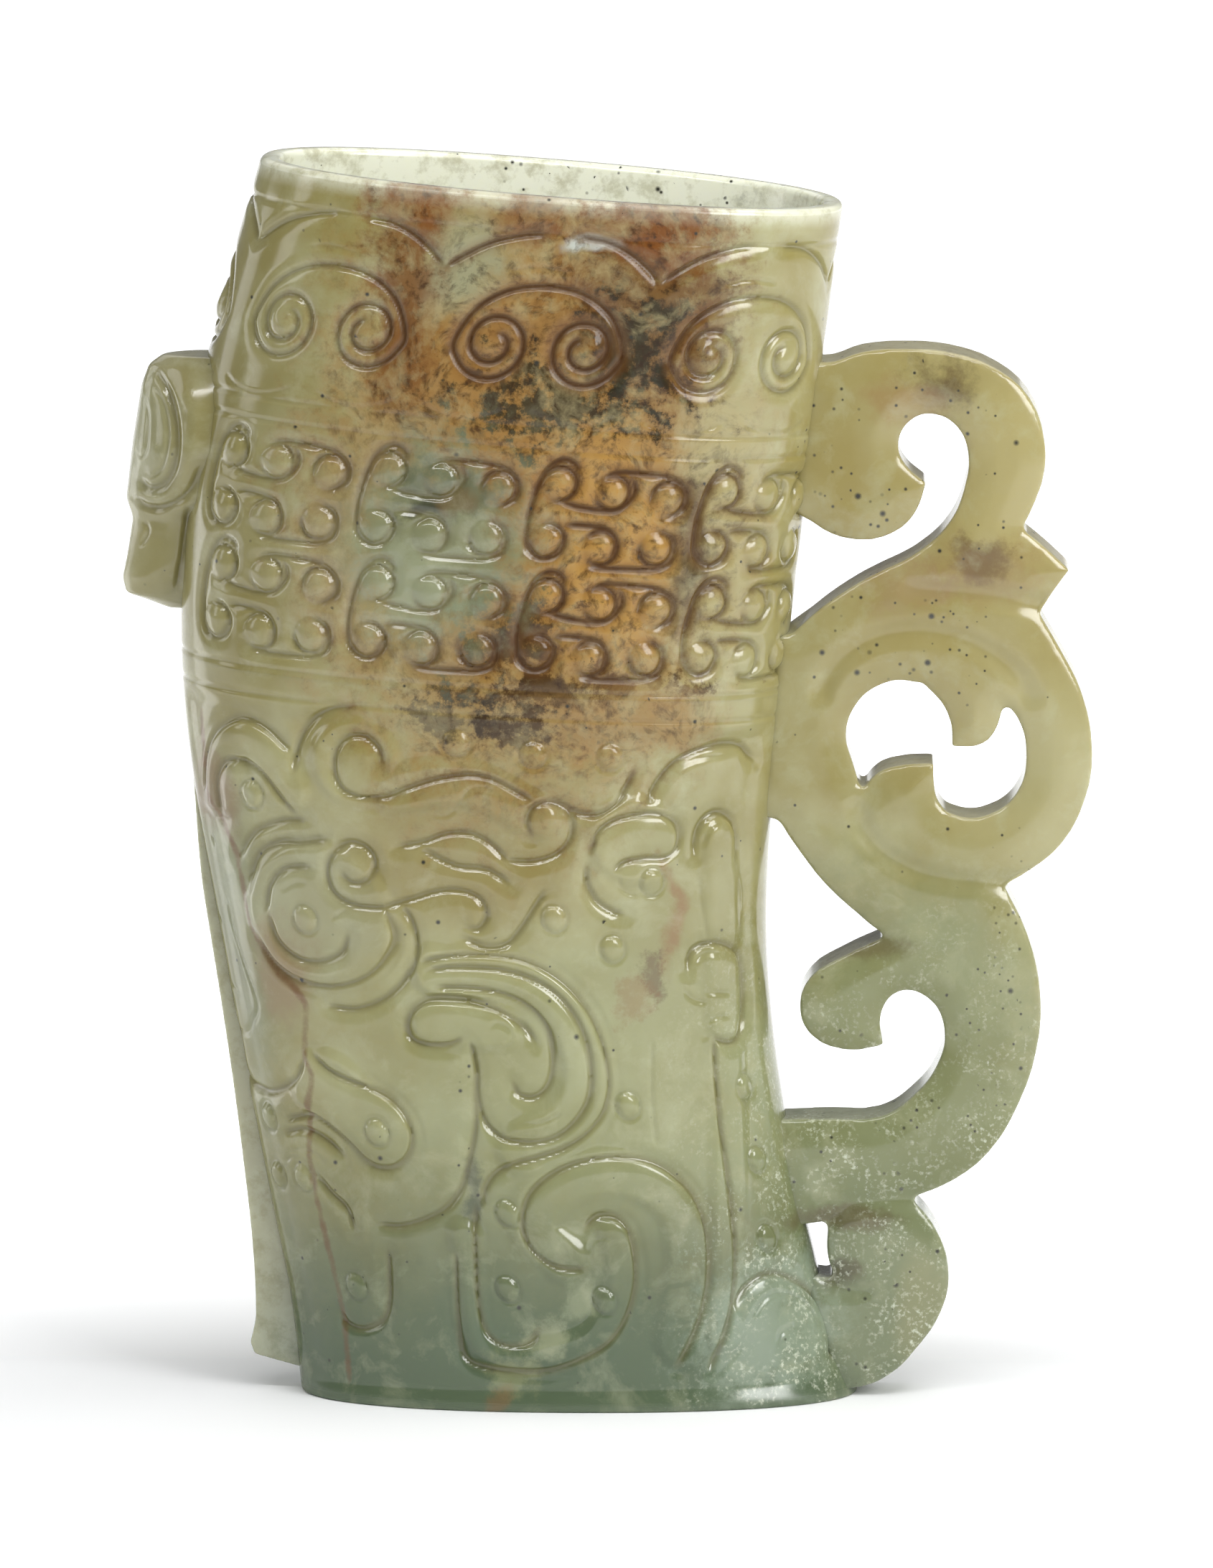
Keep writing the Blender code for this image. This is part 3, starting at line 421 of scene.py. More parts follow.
def through(stations, level):
    """Smooth value at a level, through (level, value) stations."""
    last = len(stations) - 1
    index = 0
    while index < last - 1 and level > stations[index + 1][0]:
        index += 1
    (low, start), (high, end) = stations[index], stations[index + 1]

    def slope(i):
        before, after = stations[max(i - 1, 0)], stations[min(i + 1, last)]
        return (after[1] - before[1]) / (after[0] - before[0])

    span = high - low
    t = min(max((level - low) / span, 0.0), 1.0)
    rise = start * (2 * t**3 - 3 * t**2 + 1) + end * (3 * t**2 - 2 * t**3)
    return rise + span * (slope(index) * (t**3 - 2 * t**2 + t) + slope(index + 1) * (t**3 - t**2))


def centre_x(level):
    """Middle of the section at a level."""
    return -BOW * math.sin(math.pi * level / BOW_SPAN)


def tilt(level):
    """Angle at which the section at a level tips towards the handle."""
    share = min(max((level - FOOT_TOP) / (COMMA_TOP - FOOT_TOP), 0.0), 1.0)
    return MOUTH_TILT * share * share * (3 - 2 * share)


def wall(level):
    """Thickness of the cup at a level."""
    return FLOOR_WALL + (MOUTH_WALL - FLOOR_WALL) * (level - FLOOR_LEVEL) / (CUP_TOP - FLOOR_LEVEL)


TURN_STEPS = 1440
TURNS = np.linspace(-math.pi, math.pi, TURN_STEPS + 1)
FRONT_HALF = slice(TURN_STEPS // 4, TURN_STEPS * 3 // 4 + 1)


def oval(turns, half_width, half_depth):
    """Points of a section, from the middle of the back round the front."""
    sine, cosine = np.sin(turns), np.cos(turns)
    power = 2 / SECTION_POWER
    x = np.sign(sine) * np.abs(sine) ** power * half_width
    y = -np.sign(cosine) * np.abs(cosine) ** power * half_depth
    return x, y


def girth_shares(half_width, half_depth):
    """Share of the girth, -0.5 to 0.5, at each of TURNS."""
    x, y = oval(TURNS, half_width, half_depth)
    run = np.concatenate(([0.0], np.cumsum(np.hypot(np.diff(x), np.diff(y)))))
    return run / run[-1] - 0.5


def ring(level, inset, shares):
    """Row of points at a level; shares count round the girth from the middle of the front."""
    half_width, half_depth = through(WIDTHS, level) - inset, through(DEPTHS, level) - inset
    turns = np.interp(shares, girth_shares(half_width, half_depth), TURNS)
    x, y = oval(turns, half_width, half_depth)
    slant = tilt(level)
    return np.stack((centre_x(level) + x * math.cos(slant), y, level - x * math.sin(slant)), axis=1)


FACE_EDGE, FACE_LEAN, FACE_ROUNDS = 0.995, 2.5, 8


def on_wall(x, z):
    """Unrolled place of a point that the photo shows at x, z on the cup's front, found in a few rounds."""
    level = z + FACE_LEAN
    eye = camera.location / MM
    for _ in range(FACE_ROUNDS):
        half_width, half_depth = through(WIDTHS, level), through(DEPTHS, level)
        share = max(min((x - centre_x(level)) / half_width, FACE_EDGE), -FACE_EDGE)
        y = -half_depth * (1 - abs(share) ** SECTION_POWER) ** (1 / SECTION_POWER)
        height = z - y * (eye.z - z) / -eye.y
        level = height + share * half_width * math.sin(tilt(level))
    x_run = oval(TURNS, half_width, half_depth)[0]
    turn = np.interp(share, x_run[FRONT_HALF] / half_width, TURNS[FRONT_HALF])
    return float(np.interp(turn, TURNS, girth_shares(half_width, half_depth))) * GIRTH, level


def smooth_path(points, step=0.25):
    """Points of a smooth curve through the given ones."""
    knots = [np.array(point, dtype=float) for point in points]
    knots = [2 * knots[0] - knots[1]] + knots + [2 * knots[-1] - knots[-2]]
    path = []
    for a, b, c, d in zip(knots, knots[1:], knots[2:], knots[3:]):
        count = max(int(np.linalg.norm(c - b) / step), 2)
        for t in np.arange(count) / count:
            bend = (2 * a - 5 * b + 4 * c - d) * t**2 + (3 * b - a - 3 * c + d) * t**3
            path.append(0.5 * (2 * b + (c - a) * t + bend))
    path.append(knots[-2])
    return path


CIRCLE_STEPS = 32


def circle(centre, radius):
    """Closed path round a spot."""
    turns = np.linspace(0, 2 * math.pi, CIRCLE_STEPS + 1)
    return [(centre[0] + radius * math.cos(t), centre[1] + radius * math.sin(t)) for t in turns]


TAPER_LENGTH, TAPER_LIFT, CLOSED_GAP = 2.2, 0.55, 0.05


def marks_object(name, paths):
    """Loose object that holds carving paths as edges in the flat drawing; a path of one point is a boss.

    An open path lifts off the drawing at its ends, so that the cut runs out thin and shallow.
    """
    verts, edges = [], []
    for path in paths:
        first = len(verts)
        spots = np.array(path, dtype=float)
        lift = np.zeros(len(spots))
        if len(spots) > 1 and np.linalg.norm(spots[0] - spots[-1]) > CLOSED_GAP:
            run = np.concatenate(([0.0], np.cumsum(np.linalg.norm(np.diff(spots, axis=0), axis=1))))
            taper = min(TAPER_LENGTH, run[-1] / 3)
            lift = TAPER_LIFT * np.clip(1 - np.minimum(run, run[-1] - run) / taper, 0.0, 1.0) ** 2
        verts += [(spot[0] * MM, spot[1] * MM, rise * MM) for spot, rise in zip(spots, lift)]
        edges += [(i, i + 1) for i in range(first, len(verts) - 1)]
    if not verts:
        # No path: one short edge a metre away, out of the tool's reach
        verts = [(0.0, 0.0, 1.0), (0.0, 0.0, 1.001)]
        edges = [(0, 1)]
    mesh = bpy.data.meshes.new(name)
    mesh.from_pydata(verts, edges, [])
    return bpy.data.objects.new(name, mesh)


# Carving: done with abrasive and a turning tool, which leave rounded grooves with a soft slope beside them,
# and low domes on the bosses. The tree works on the flat drawing, marks what was cut, and then sets every
# point at its place on the stone plus the relief.
VEIN_REACH = 8.0 * MM


def carving_tree():
    """Geometry nodes that carve a flat drawing and set it in place; sizes are the tool's, in mm."""
    tree = bpy.data.node_groups.new("carving", "GeometryNodeTree")
    face = tree.interface
    face.new_socket("Geometry", in_out="INPUT", socket_type="NodeSocketGeometry")
    for name in ("Bold Cuts", "Fine Cuts", "Bosses", "Vein"):
        face.new_socket(name, in_out="INPUT", socket_type="NodeSocketObject")
    for name, size in (("Bold Width", 0.6), ("Bold Depth", 0.4), ("Fine Width", 0.42), ("Fine Depth", 0.2),
                       ("Boss Radius", 1.6), ("Boss Height", 0.45)):
        socket = face.new_socket(name, in_out="INPUT", socket_type="NodeSocketFloat")
        socket.default_value = size * MM
    face.new_socket("Stone", in_out="INPUT", socket_type="NodeSocketMaterial")
    face.new_socket("Geometry", in_out="OUTPUT", socket_type="NodeSocketGeometry")
    entry = add(tree, "NodeGroupInput").outputs

    gaps = {}
    for name in ("Bold Cuts", "Fine Cuts", "Bosses", "Vein"):
        guide = add(tree, "GeometryNodeObjectInfo", {"Object": entry[name]}).outputs["Geometry"]
        element = "POINTS" if name == "Bosses" else "EDGES"
        nearest = add(tree, "GeometryNodeProximity", {0: guide}, target_element=element)
        gaps[name] = nearest.outputs["Distance"]

    # Each profile falls smoothly from its top on the path to nothing at its reach, both as shares of the tool
    profiles = {}
    for name, line, reach, top in (("groove", "Bold", 1.0, 1.0), ("slope", "Bold", 3.2, 0.7),
                                   ("scratch", "Fine", 1.0, 1.0)):
        width = add(tree, "ShaderNodeMath", {0: entry[line + " Width"], 1: reach}, operation="MULTIPLY")
        depth = add(tree, "ShaderNodeMath", {0: entry[line + " Depth"], 1: top}, operation="MULTIPLY")
        profiles[name] = add(tree, "ShaderNodeMapRange", {
            "Value": gaps[line + " Cuts"], "From Max": width, "To Min": depth, "To Max": 0.0},
            interpolation_type="SMOOTHSTEP")
    sunk = add(tree, "ShaderNodeMath", {0: profiles["groove"], 1: profiles["scratch"]}, operation="MAXIMUM")
    sunk = add(tree, "ShaderNodeMath", {0: sunk, 1: profiles["slope"]}, operation="ADD")
    out = add(tree, "ShaderNodeMath", {0: gaps["Bosses"], 1: entry["Boss Radius"]}, operation="DIVIDE")
    under = add(tree, "ShaderNodeMath", {0: out, 1: out}, operation="MULTIPLY")
    under = add(tree, "ShaderNodeMath", {0: 1.0, 1: under}, operation="SUBTRACT", use_clamp=True)
    dome = add(tree, "ShaderNodeMath", {0: under}, operation="SQRT")
    dome = add(tree, "ShaderNodeMath", {0: dome, 1: entry["Boss Height"]}, operation="MULTIPLY")
    relief = add(tree, "ShaderNodeMath", {0: dome, 1: sunk}, operation="SUBTRACT")

    carve = add(tree, "GeometryNodeInputNamedAttribute", {"Name": "carve"}, data_type="FLOAT")
    shape = entry["Geometry"]
    marks = (("cut", "Bold Cuts", entry["Bold Width"], 1.25),
             ("hollow", "Bold Cuts", entry["Bold Width"], 3.0),
             ("vein", "Vein", VEIN_REACH, 1.0))
    for name, line, size, reach in marks:
        width = add(tree, "ShaderNodeMath", {0: size, 1: reach}, operation="MULTIPLY")
        mark = add(tree, "ShaderNodeMapRange", {
            "Value": gaps[line], "From Max": width, "To Min": 1.0, "To Max": 0.0},
            interpolation_type="SMOOTHSTEP")
        mark = add(tree, "ShaderNodeMath", {0: mark, 1: carve}, operation="MULTIPLY")
        shape = add(tree, "GeometryNodeStoreNamedAttribute", {"Geometry": shape, "Name": name, "Value": mark},
                    data_type="FLOAT", domain="POINT")
    outward = add(tree, "GeometryNodeInputNamedAttribute", {"Name": "outward"}, data_type="FLOAT_VECTOR")
    seat = add(tree, "GeometryNodeInputNamedAttribute", {"Name": "seat"}, data_type="FLOAT_VECTOR")
    height = add(tree, "ShaderNodeMath", {0: relief, 1: carve}, operation="MULTIPLY")
    lift = add(tree, "ShaderNodeVectorMath", {0: outward, "Scale": height}, operation="SCALE")
    spot = add(tree, "ShaderNodeVectorMath", {0: seat, 1: lift}, operation="ADD")
    shape = add(tree, "GeometryNodeSetPosition", {"Geometry": shape, "Position": spot})
    shape = add(tree, "GeometryNodeRealizeInstances", {"Geometry": shape})
    shape = add(tree, "GeometryNodeSetMaterial", {"Geometry": shape, "Material": entry["Stone"]})
    add(tree, "NodeGroupOutput", {0: shape})
    return tree


carving = carving_tree()


def set_marks(mesh, name, values, kind="FLOAT"):
    """Stores one value, or one vector, on each point of a mesh."""
    field = mesh.attributes.new(name, kind, "POINT")
    key = "vector" if kind == "FLOAT_VECTOR" else "value"
    field.data.foreach_set(key, np.asarray(values, dtype=np.float32).ravel())


def vectors(items, key):
    """Rows of three numbers, read from the points of a mesh."""
    values = np.empty(len(items) * 3, dtype=np.float32)
    items.foreach_get(key, values)
    return values.reshape(-1, 3)


def worked(blank):
    """Mesh of an object after its modifiers."""
    bpy.context.view_layer.update()
    return bpy.data.meshes.new_from_object(blank.evaluated_get(bpy.context.evaluated_depsgraph_get()))


CREASE = math.radians(70)


def carved(name, mesh, tool_sizes, bold=(), fine=(), bosses=(), vein=()):
    """Finished mesh of a flat drawing that holds seat, outward and carve, after the carving tree."""
    blank = bpy.data.objects.new(name + "_blank", mesh)
    scene.collection.objects.link(blank)
    groups = {"Bold Cuts": bold, "Fine Cuts": fine, "Bosses": [[spot] for spot in bosses], "Vein": vein}
    tool = blank.modifiers.new("carving", "NODES")
    tool.node_group = carving
    guides = []
    for item in carving.interface.items_tree:
        if item.in_out != "INPUT":
            continue
        if item.name in groups:
            guide = marks_object(item.name, groups[item.name])
            scene.collection.objects.link(guide)
            guides.append(guide)
            tool[item.identifier] = guide
        elif item.name == "Stone":
            tool[item.identifier] = jade
        elif item.name in tool_sizes:
            tool[item.identifier] = tool_sizes[item.name] * MM
    result = worked(blank)
    for extra in [blank] + guides:
        bpy.data.objects.remove(extra, do_unlink=True)
    for field in ("seat", "outward", "carve"):
        result.attributes.remove(result.attributes[field])
    result.shade_smooth()
    result.set_sharp_from_angle(angle=CREASE)
    return result


def finished(name, mesh, nodes):
    """Adds a finished piece that rides on the stone's one body and stands for the frame's nodes."""
    mesh.name = name
    piece = bpy.data.objects.new(name, mesh)
    scene.collection.objects.link(piece)
    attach(piece, "root")
    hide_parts(*nodes)


def half_wall(name, profile, grain):
    """Flat drawing of the front half of a wall, capped on the cup's middle plane.

    Rows of the profile are (level, inset, carve, glow), glow being the share of painted pale glow. A profile
    that ends at its first level is a tube.
    """
    shares = np.linspace(-0.25, 0.25, round(GIRTH / 2 / grain) + 1)
    seat = np.stack([ring(level, inset, shares) for level, inset, _, _ in profile])

    def facing(points):
        normals = np.cross(np.gradient(points, axis=1), np.gradient(points, axis=0))
        return normals / np.maximum(np.linalg.norm(normals, axis=2, keepdims=True), 1e-9)

    outward = facing(seat)
    flat = np.zeros_like(seat)
    flat[:, :, 0] = shares[None, :] * GIRTH
    flat[:, :, 1] = np.array([row[0] for row in profile])[:, None]
    for row, (level, _, carve, _) in enumerate(profile):
        seat[row] -= outward[row] * (carve * ground_sink(level, seat[row]))[:, None]
    outward = facing(seat)
    number = np.arange(seat.shape[0] * seat.shape[1]).reshape(seat.shape[:2])
    left, right = number[:, 0].tolist(), number[:, -1].tolist()
    if profile[0][0] == profile[-1][0]:
        number = np.vstack((number, number[:1]))
        caps = [left, right[::-1]]
    else:
        caps = [number[0, ::-1].tolist(), number[-1].tolist(), left + right[::-1]]
    quads = np.stack((number[:-1, :-1], number[:-1, 1:], number[1:, 1:], number[1:, :-1]), axis=2)
    mesh = bpy.data.meshes.new(name)
    mesh.from_pydata((flat.reshape(-1, 3) * MM).tolist(), [], quads.reshape(-1, 4).tolist() + caps)
    set_marks(mesh, "seat", seat.reshape(-1, 3) * MM, "FLOAT_VECTOR")
    set_marks(mesh, "outward", outward.reshape(-1, 3), "FLOAT_VECTOR")
    set_marks(mesh, "carve", np.repeat([row[2] for row in profile], len(shares)))
    set_marks(mesh, "thin", np.repeat([row[3] for row in profile], len(shares)))
    return mesh


def both_halves(front, name, nodes):
    """Finishes a front half and its mirror image at the back."""
    rear = front.copy()
    points = vectors(rear.vertices, "co")
    points[:, 1] *= -1
    rear.vertices.foreach_set("co", points.ravel())
    rear.flip_normals()
    finished(name + "_front", front, nodes)
    finished(name + "_back", rear, nodes)


# Painted glow of the hollow's wall: least deep down, full near the mouth
DEEP_GLOW, GLOW_FOOT, GLOW_RISE = 0.35, 60.0, 40.0
LINE_OVERRUN, LINE_POINTS = 5.0, 240


def inner_rows(high, low, count):
    """Rows down the hollow's wall, painted pale near the mouth as light that falls in, and darker deeper down.
    """
    rows = []
    for level in np.linspace(high, low, count):
        rows.append((level, wall(level), 0.0, min(max((level - GLOW_FOOT) / GLOW_RISE, DEEP_GLOW), 1.0)))
    return rows


def level_line(level):
    """Line cut round the front half at a level."""
    end = GIRTH / 4 + LINE_OVERRUN
    return [(run, level) for run in np.linspace(-end, end, LINE_POINTS)]


# Lower wall, main forms: the mask's forms are left standing where the ground between them is ground back a
# little, which fades out at fin and handle. A form is a half width and its middle line, as in the frame.
MASK_SINK, MASK_SLOPE, MASK_MARGIN = 0.5, 1.6, 2.5
BARE_AT_FIN, BARE_AT_HANDLE, END_SLOPE = 3.0, 5.2, 3.0
MASK_FORMS = [
    (2.3, [(-29.5, 67.5), (-28.4, 72.3), (-26.1, 74.1), (-23.1, 72.2), (-21.4, 69.3)]),
    (8.2, [(-18.5, 55.4)]),
    (4.8, [(-13.7, 73.1)]),
    (2.4, [(-9.7, 70.3), (-1.1, 71.4), (6.3, 68.2)]),
    (5.0, [(17.1, 65.7)]),
    (2.8, [(-6.1, 50.1), (2.9, 49.6), (7.7, 45.6), (9.4, 39.2), (6.6, 33.6), (0.4, 29.8)]),
    (2.6, [(-7.3, 44.3), (-0.3, 44.2)]),
    (4.2, [(-20.5, 36.1), (-15.5, 31.8)]),
    (1.8, [(26.9, 66.0), (25.8, 49.4), (22.9, 27.2), (17.9, 8.5)]),
    (2.6, [(2.4, 17.5), (-0.1, 21.5), (3.7, 26.2), (10.9, 27.3), (16.2, 23.7), (16.5, 17.1), (13.2, 7.7)]),
    (1.8, [(-8.0, 19.9), (-9.5, 9.3), (-4.6, 6.3), (3.8, 8.1), (8.4, 14.4), (9.0, 20.4)]),
]


def eased(share):
    """Smooth step from 0 to 1."""
    share = np.clip(share, 0.0, 1.0)
    return share * share * (3 - 2 * share)


def drawn(points):
    """Smooth path on the unrolled wall through points as the photo shows them."""
    return smooth_path([on_wall(x, z) for x, z in points])


form_lines = []
for half_width, path in MASK_FORMS:
    form_lines.append((half_width, np.array(smooth_path(path) if len(path) > 1 else path)))


def ground_sink(level, points):
    """How far the ground lies back at a level, for points of the wall."""
    if level > MASK_TOP:
        return np.zeros(len(points))
    across = points[:, 0] - centre_x(level)
    stand = np.zeros(len(points))
    for half_width, line in form_lines:
        gap = np.hypot(across[:, None] - line[None, :, 0], level - line[None, :, 1]).min(axis=1)
        stand = np.maximum(stand, eased(0.5 + (half_width - gap) / MASK_SLOPE))
    bare = np.where(across < 0, BARE_AT_FIN, BARE_AT_HANDLE)
    away = eased((np.abs(points[:, 1]) - bare) / END_SLOPE) * eased((level - FOOT_CHAMFER) / MASK_MARGIN)
    return MASK_SINK * away * eased((MASK_TOP - MASK_MARGIN - level) / MASK_MARGIN) * (1 - stand)


# Upper wall, scroll band: pairs of spirals cut in the stone under a shared brow, like staring eyes, with a V
# between the pairs. Each pair is one line that unwinds from one spiral, runs over the brow and winds into
# the other.
PAIRS_ROUND, FRONT_PAIRS = 7, range(-2, 3)
PAIR_PITCH = GIRTH / PAIRS_ROUND
PAIR_START = 2.2
SPIRAL_LEVEL = 120.4
SPIRAL_REACH, SPIRAL_OUTER, SPIRAL_INNER, SPIRAL_TURNS = 5.1, 4.3, 1.2, 1.75
SPIRAL_POINTS = 24
BAND_LINES = (SCROLL_TOP, 111.7, 109.3, 82.4)
half_pair = [(0.0, 6.7), (4.2, 6.0), (7.6, 3.7)]
for step in range(SPIRAL_POINTS):
    share = step / (SPIRAL_POINTS - 1)
    radius = SPIRAL_OUTER + (SPIRAL_INNER - SPIRAL_OUTER) * share
    turn = -2 * math.pi * SPIRAL_TURNS * share
    half_pair.append((SPIRAL_REACH + radius * math.cos(turn), radius * math.sin(turn)))
pair_line = [(-x, y) for x, y in reversed(half_pair)] + half_pair[1:]
v_left = [(-10.4, 12.4), (-6.8, 12.0), (-4.0, 10.9), (-1.6, 9.3), (0.0, 7.8)]
v_right = [(0.0, 7.8), (1.9, 9.3), (4.8, 11.0), (8.4, 12.1), (11.0, 12.4)]
smile = [(-5.2, -6.8), (-3.0, -7.9), (0.0, -8.4), (3.0, -7.9), (5.2, -6.8)]
brow_fold = [(-5.0, 8.0), (-1.5, 8.7), (2.5, 8.2)]


def moved(points, run, level):
    """Smooth path through points set off along the girth and up."""
    return smooth_path([(x + run, y + level) for x, y in points])


upper_bold, upper_bosses = [], []
upper_fine = [level_line(level) for level in BAND_LINES]
for pair in FRONT_PAIRS:
    middle = PAIR_START + PAIR_PITCH * pair
    between = middle + PAIR_PITCH / 2
    upper_bold += [moved(pair_line, middle, SPIRAL_LEVEL)]
    upper_bold += [moved(v_left, between, SPIRAL_LEVEL), moved(v_right, between, SPIRAL_LEVEL)]
    upper_fine += [moved(brow_fold, middle, SPIRAL_LEVEL)]
    for run in (middle + SPIRAL_REACH, between + SPIRAL_REACH):
        upper_fine += [moved(smile, run, SPIRAL_LEVEL)]
    upper_bosses += [(middle - SPIRAL_REACH, SPIRAL_LEVEL), (middle + SPIRAL_REACH, SPIRAL_LEVEL)]


# Upper wall, comma band: two rows of hooked commas cut in the stone; a unit is an upright C and four shafts.
# The pads that the hooks curl round are left standing as low domes, and both narrow ends are bare.
UNITS_ROUND, FRONT_UNITS = 9, range(-2, 2)
UNIT_PITCH = GIRTH / UNITS_ROUND
UNIT_START = 3.9
ROW_LEVELS = (102.2, 89.7)
PAD_RADIUS, PAD_MOUTH, PAD_POINTS = 1.9, 32, 24
unit_cuts = [
    [(4.8, 4.2), (4.6, 5.5), (3.4, 6.1), (2.0, 5.5), (1.0, 3.9), (0.3, 1.2), (0.0, -1.3), (0.2, -3.5),
     (1.0, -4.6), (2.2, -4.9), (3.4, -4.3), (4.1, -3.1), (4.3, -2.0)],
    [(3.0, 1.6), (5.6, 1.0), (9.1, 0.8), (10.6, 1.5), (11.5, 2.9), (11.2, 4.2), (10.5, 4.8)],
    [(7.6, 4.1), (9.1, 5.0), (11.6, 5.1), (15.1, 4.8), (16.8, 4.0), (17.6, 2.7), (17.3, 1.3), (16.2, 0.7)],
    [(3.9, -1.2), (5.6, -1.0), (8.4, -1.2), (9.6, -1.8), (10.1, -2.9), (9.8, -4.2), (9.2, -4.9)],
    [(7.1, -5.2), (8.6, -5.6), (12.6, -5.6), (15.1, -5.4), (16.5, -4.7), (16.9, -3.3), (16.4, -1.9),
     (15.2, -1.3)],
]
unit_pads = [
    # place in the unit, and the direction in degrees of the gap in the cut round it
    (3.0, 3.4, 215), (2.4, -3.0, 145), (9.0, 2.8, 165), (8.4, -3.4, 190), (15.4, 2.4, 230), (14.7, -3.2, 130),
]
for unit in FRONT_UNITS:
    for level in ROW_LEVELS:
        start = UNIT_START + UNIT_PITCH * unit
        upper_bold += [moved(path, start, level) for path in unit_cuts]
        for x, y, mouth in unit_pads:
            turns = np.radians(np.linspace(mouth + PAD_MOUTH, mouth + 360 - PAD_MOUTH, PAD_POINTS))
            coil = [(x + PAD_RADIUS * math.cos(turn), y + PAD_RADIUS * math.sin(turn)) for turn in turns]
            upper_bold += [moved(coil, start, level)]
            upper_bosses += [(x + start, y + level)]


# Upper wall, rim: above the last line the band is plain and is ground to a thin rounded lip, which lets the
# light through. The hollow was drilled out and polished, so its wall is smooth.
LIP_ROUND, LIP_POINTS, LIP_START = 0.7, 6, 0.15
# The lip and the top of the hollow are painted pale, as light shining through the thin wall
LIP_GLOW, LIP_GLOW_FOOT, LIP_GLOW_RISE = 0.75, 134.6, 3.0
HOLLOW_ROWS = 12
UPPER_GRAIN = 0.27
UPPER_TOOLS = {"Bold Width": 0.52, "Bold Depth": 0.34, "Fine Depth": 0.15,
               "Boss Radius": 1.85, "Boss Height": 0.3}
upper_rows = []
lip_foot = CUP_TOP - LIP_ROUND
for level in np.linspace(MASK_TOP, lip_foot, round((lip_foot - MASK_TOP) / UPPER_GRAIN)):
    upper_rows.append((level, 0.0, 1.0, max(0.0, (level - LIP_GLOW_FOOT) / LIP_GLOW_RISE)))
for turn in np.linspace(LIP_START, math.pi / 2, LIP_POINTS):
    inset = LIP_ROUND * (1 - math.cos(turn))
    upper_rows.append((CUP_TOP - LIP_ROUND * (1 - math.sin(turn)), inset, 0.0, LIP_GLOW))
for turn in np.linspace(math.pi / 2, math.pi - LIP_START, LIP_POINTS):
    inset = MOUTH_WALL - LIP_ROUND * (1 + math.cos(turn))
    upper_rows.append((CUP_TOP - LIP_ROUND * (1 - math.sin(turn)), inset, 0.0, 1.0))
upper_rows += inner_rows(lip_foot, MASK_TOP, HOLLOW_ROWS)
upper_blank = half_wall("upper_wall", upper_rows, UPPER_GRAIN)
upper_front = carved("upper_wall", upper_blank, UPPER_TOOLS, upper_bold, upper_fine, upper_bosses)
both_halves(upper_front, "upper_wall", ["rim_lip", "scroll_band", "comma_band"])


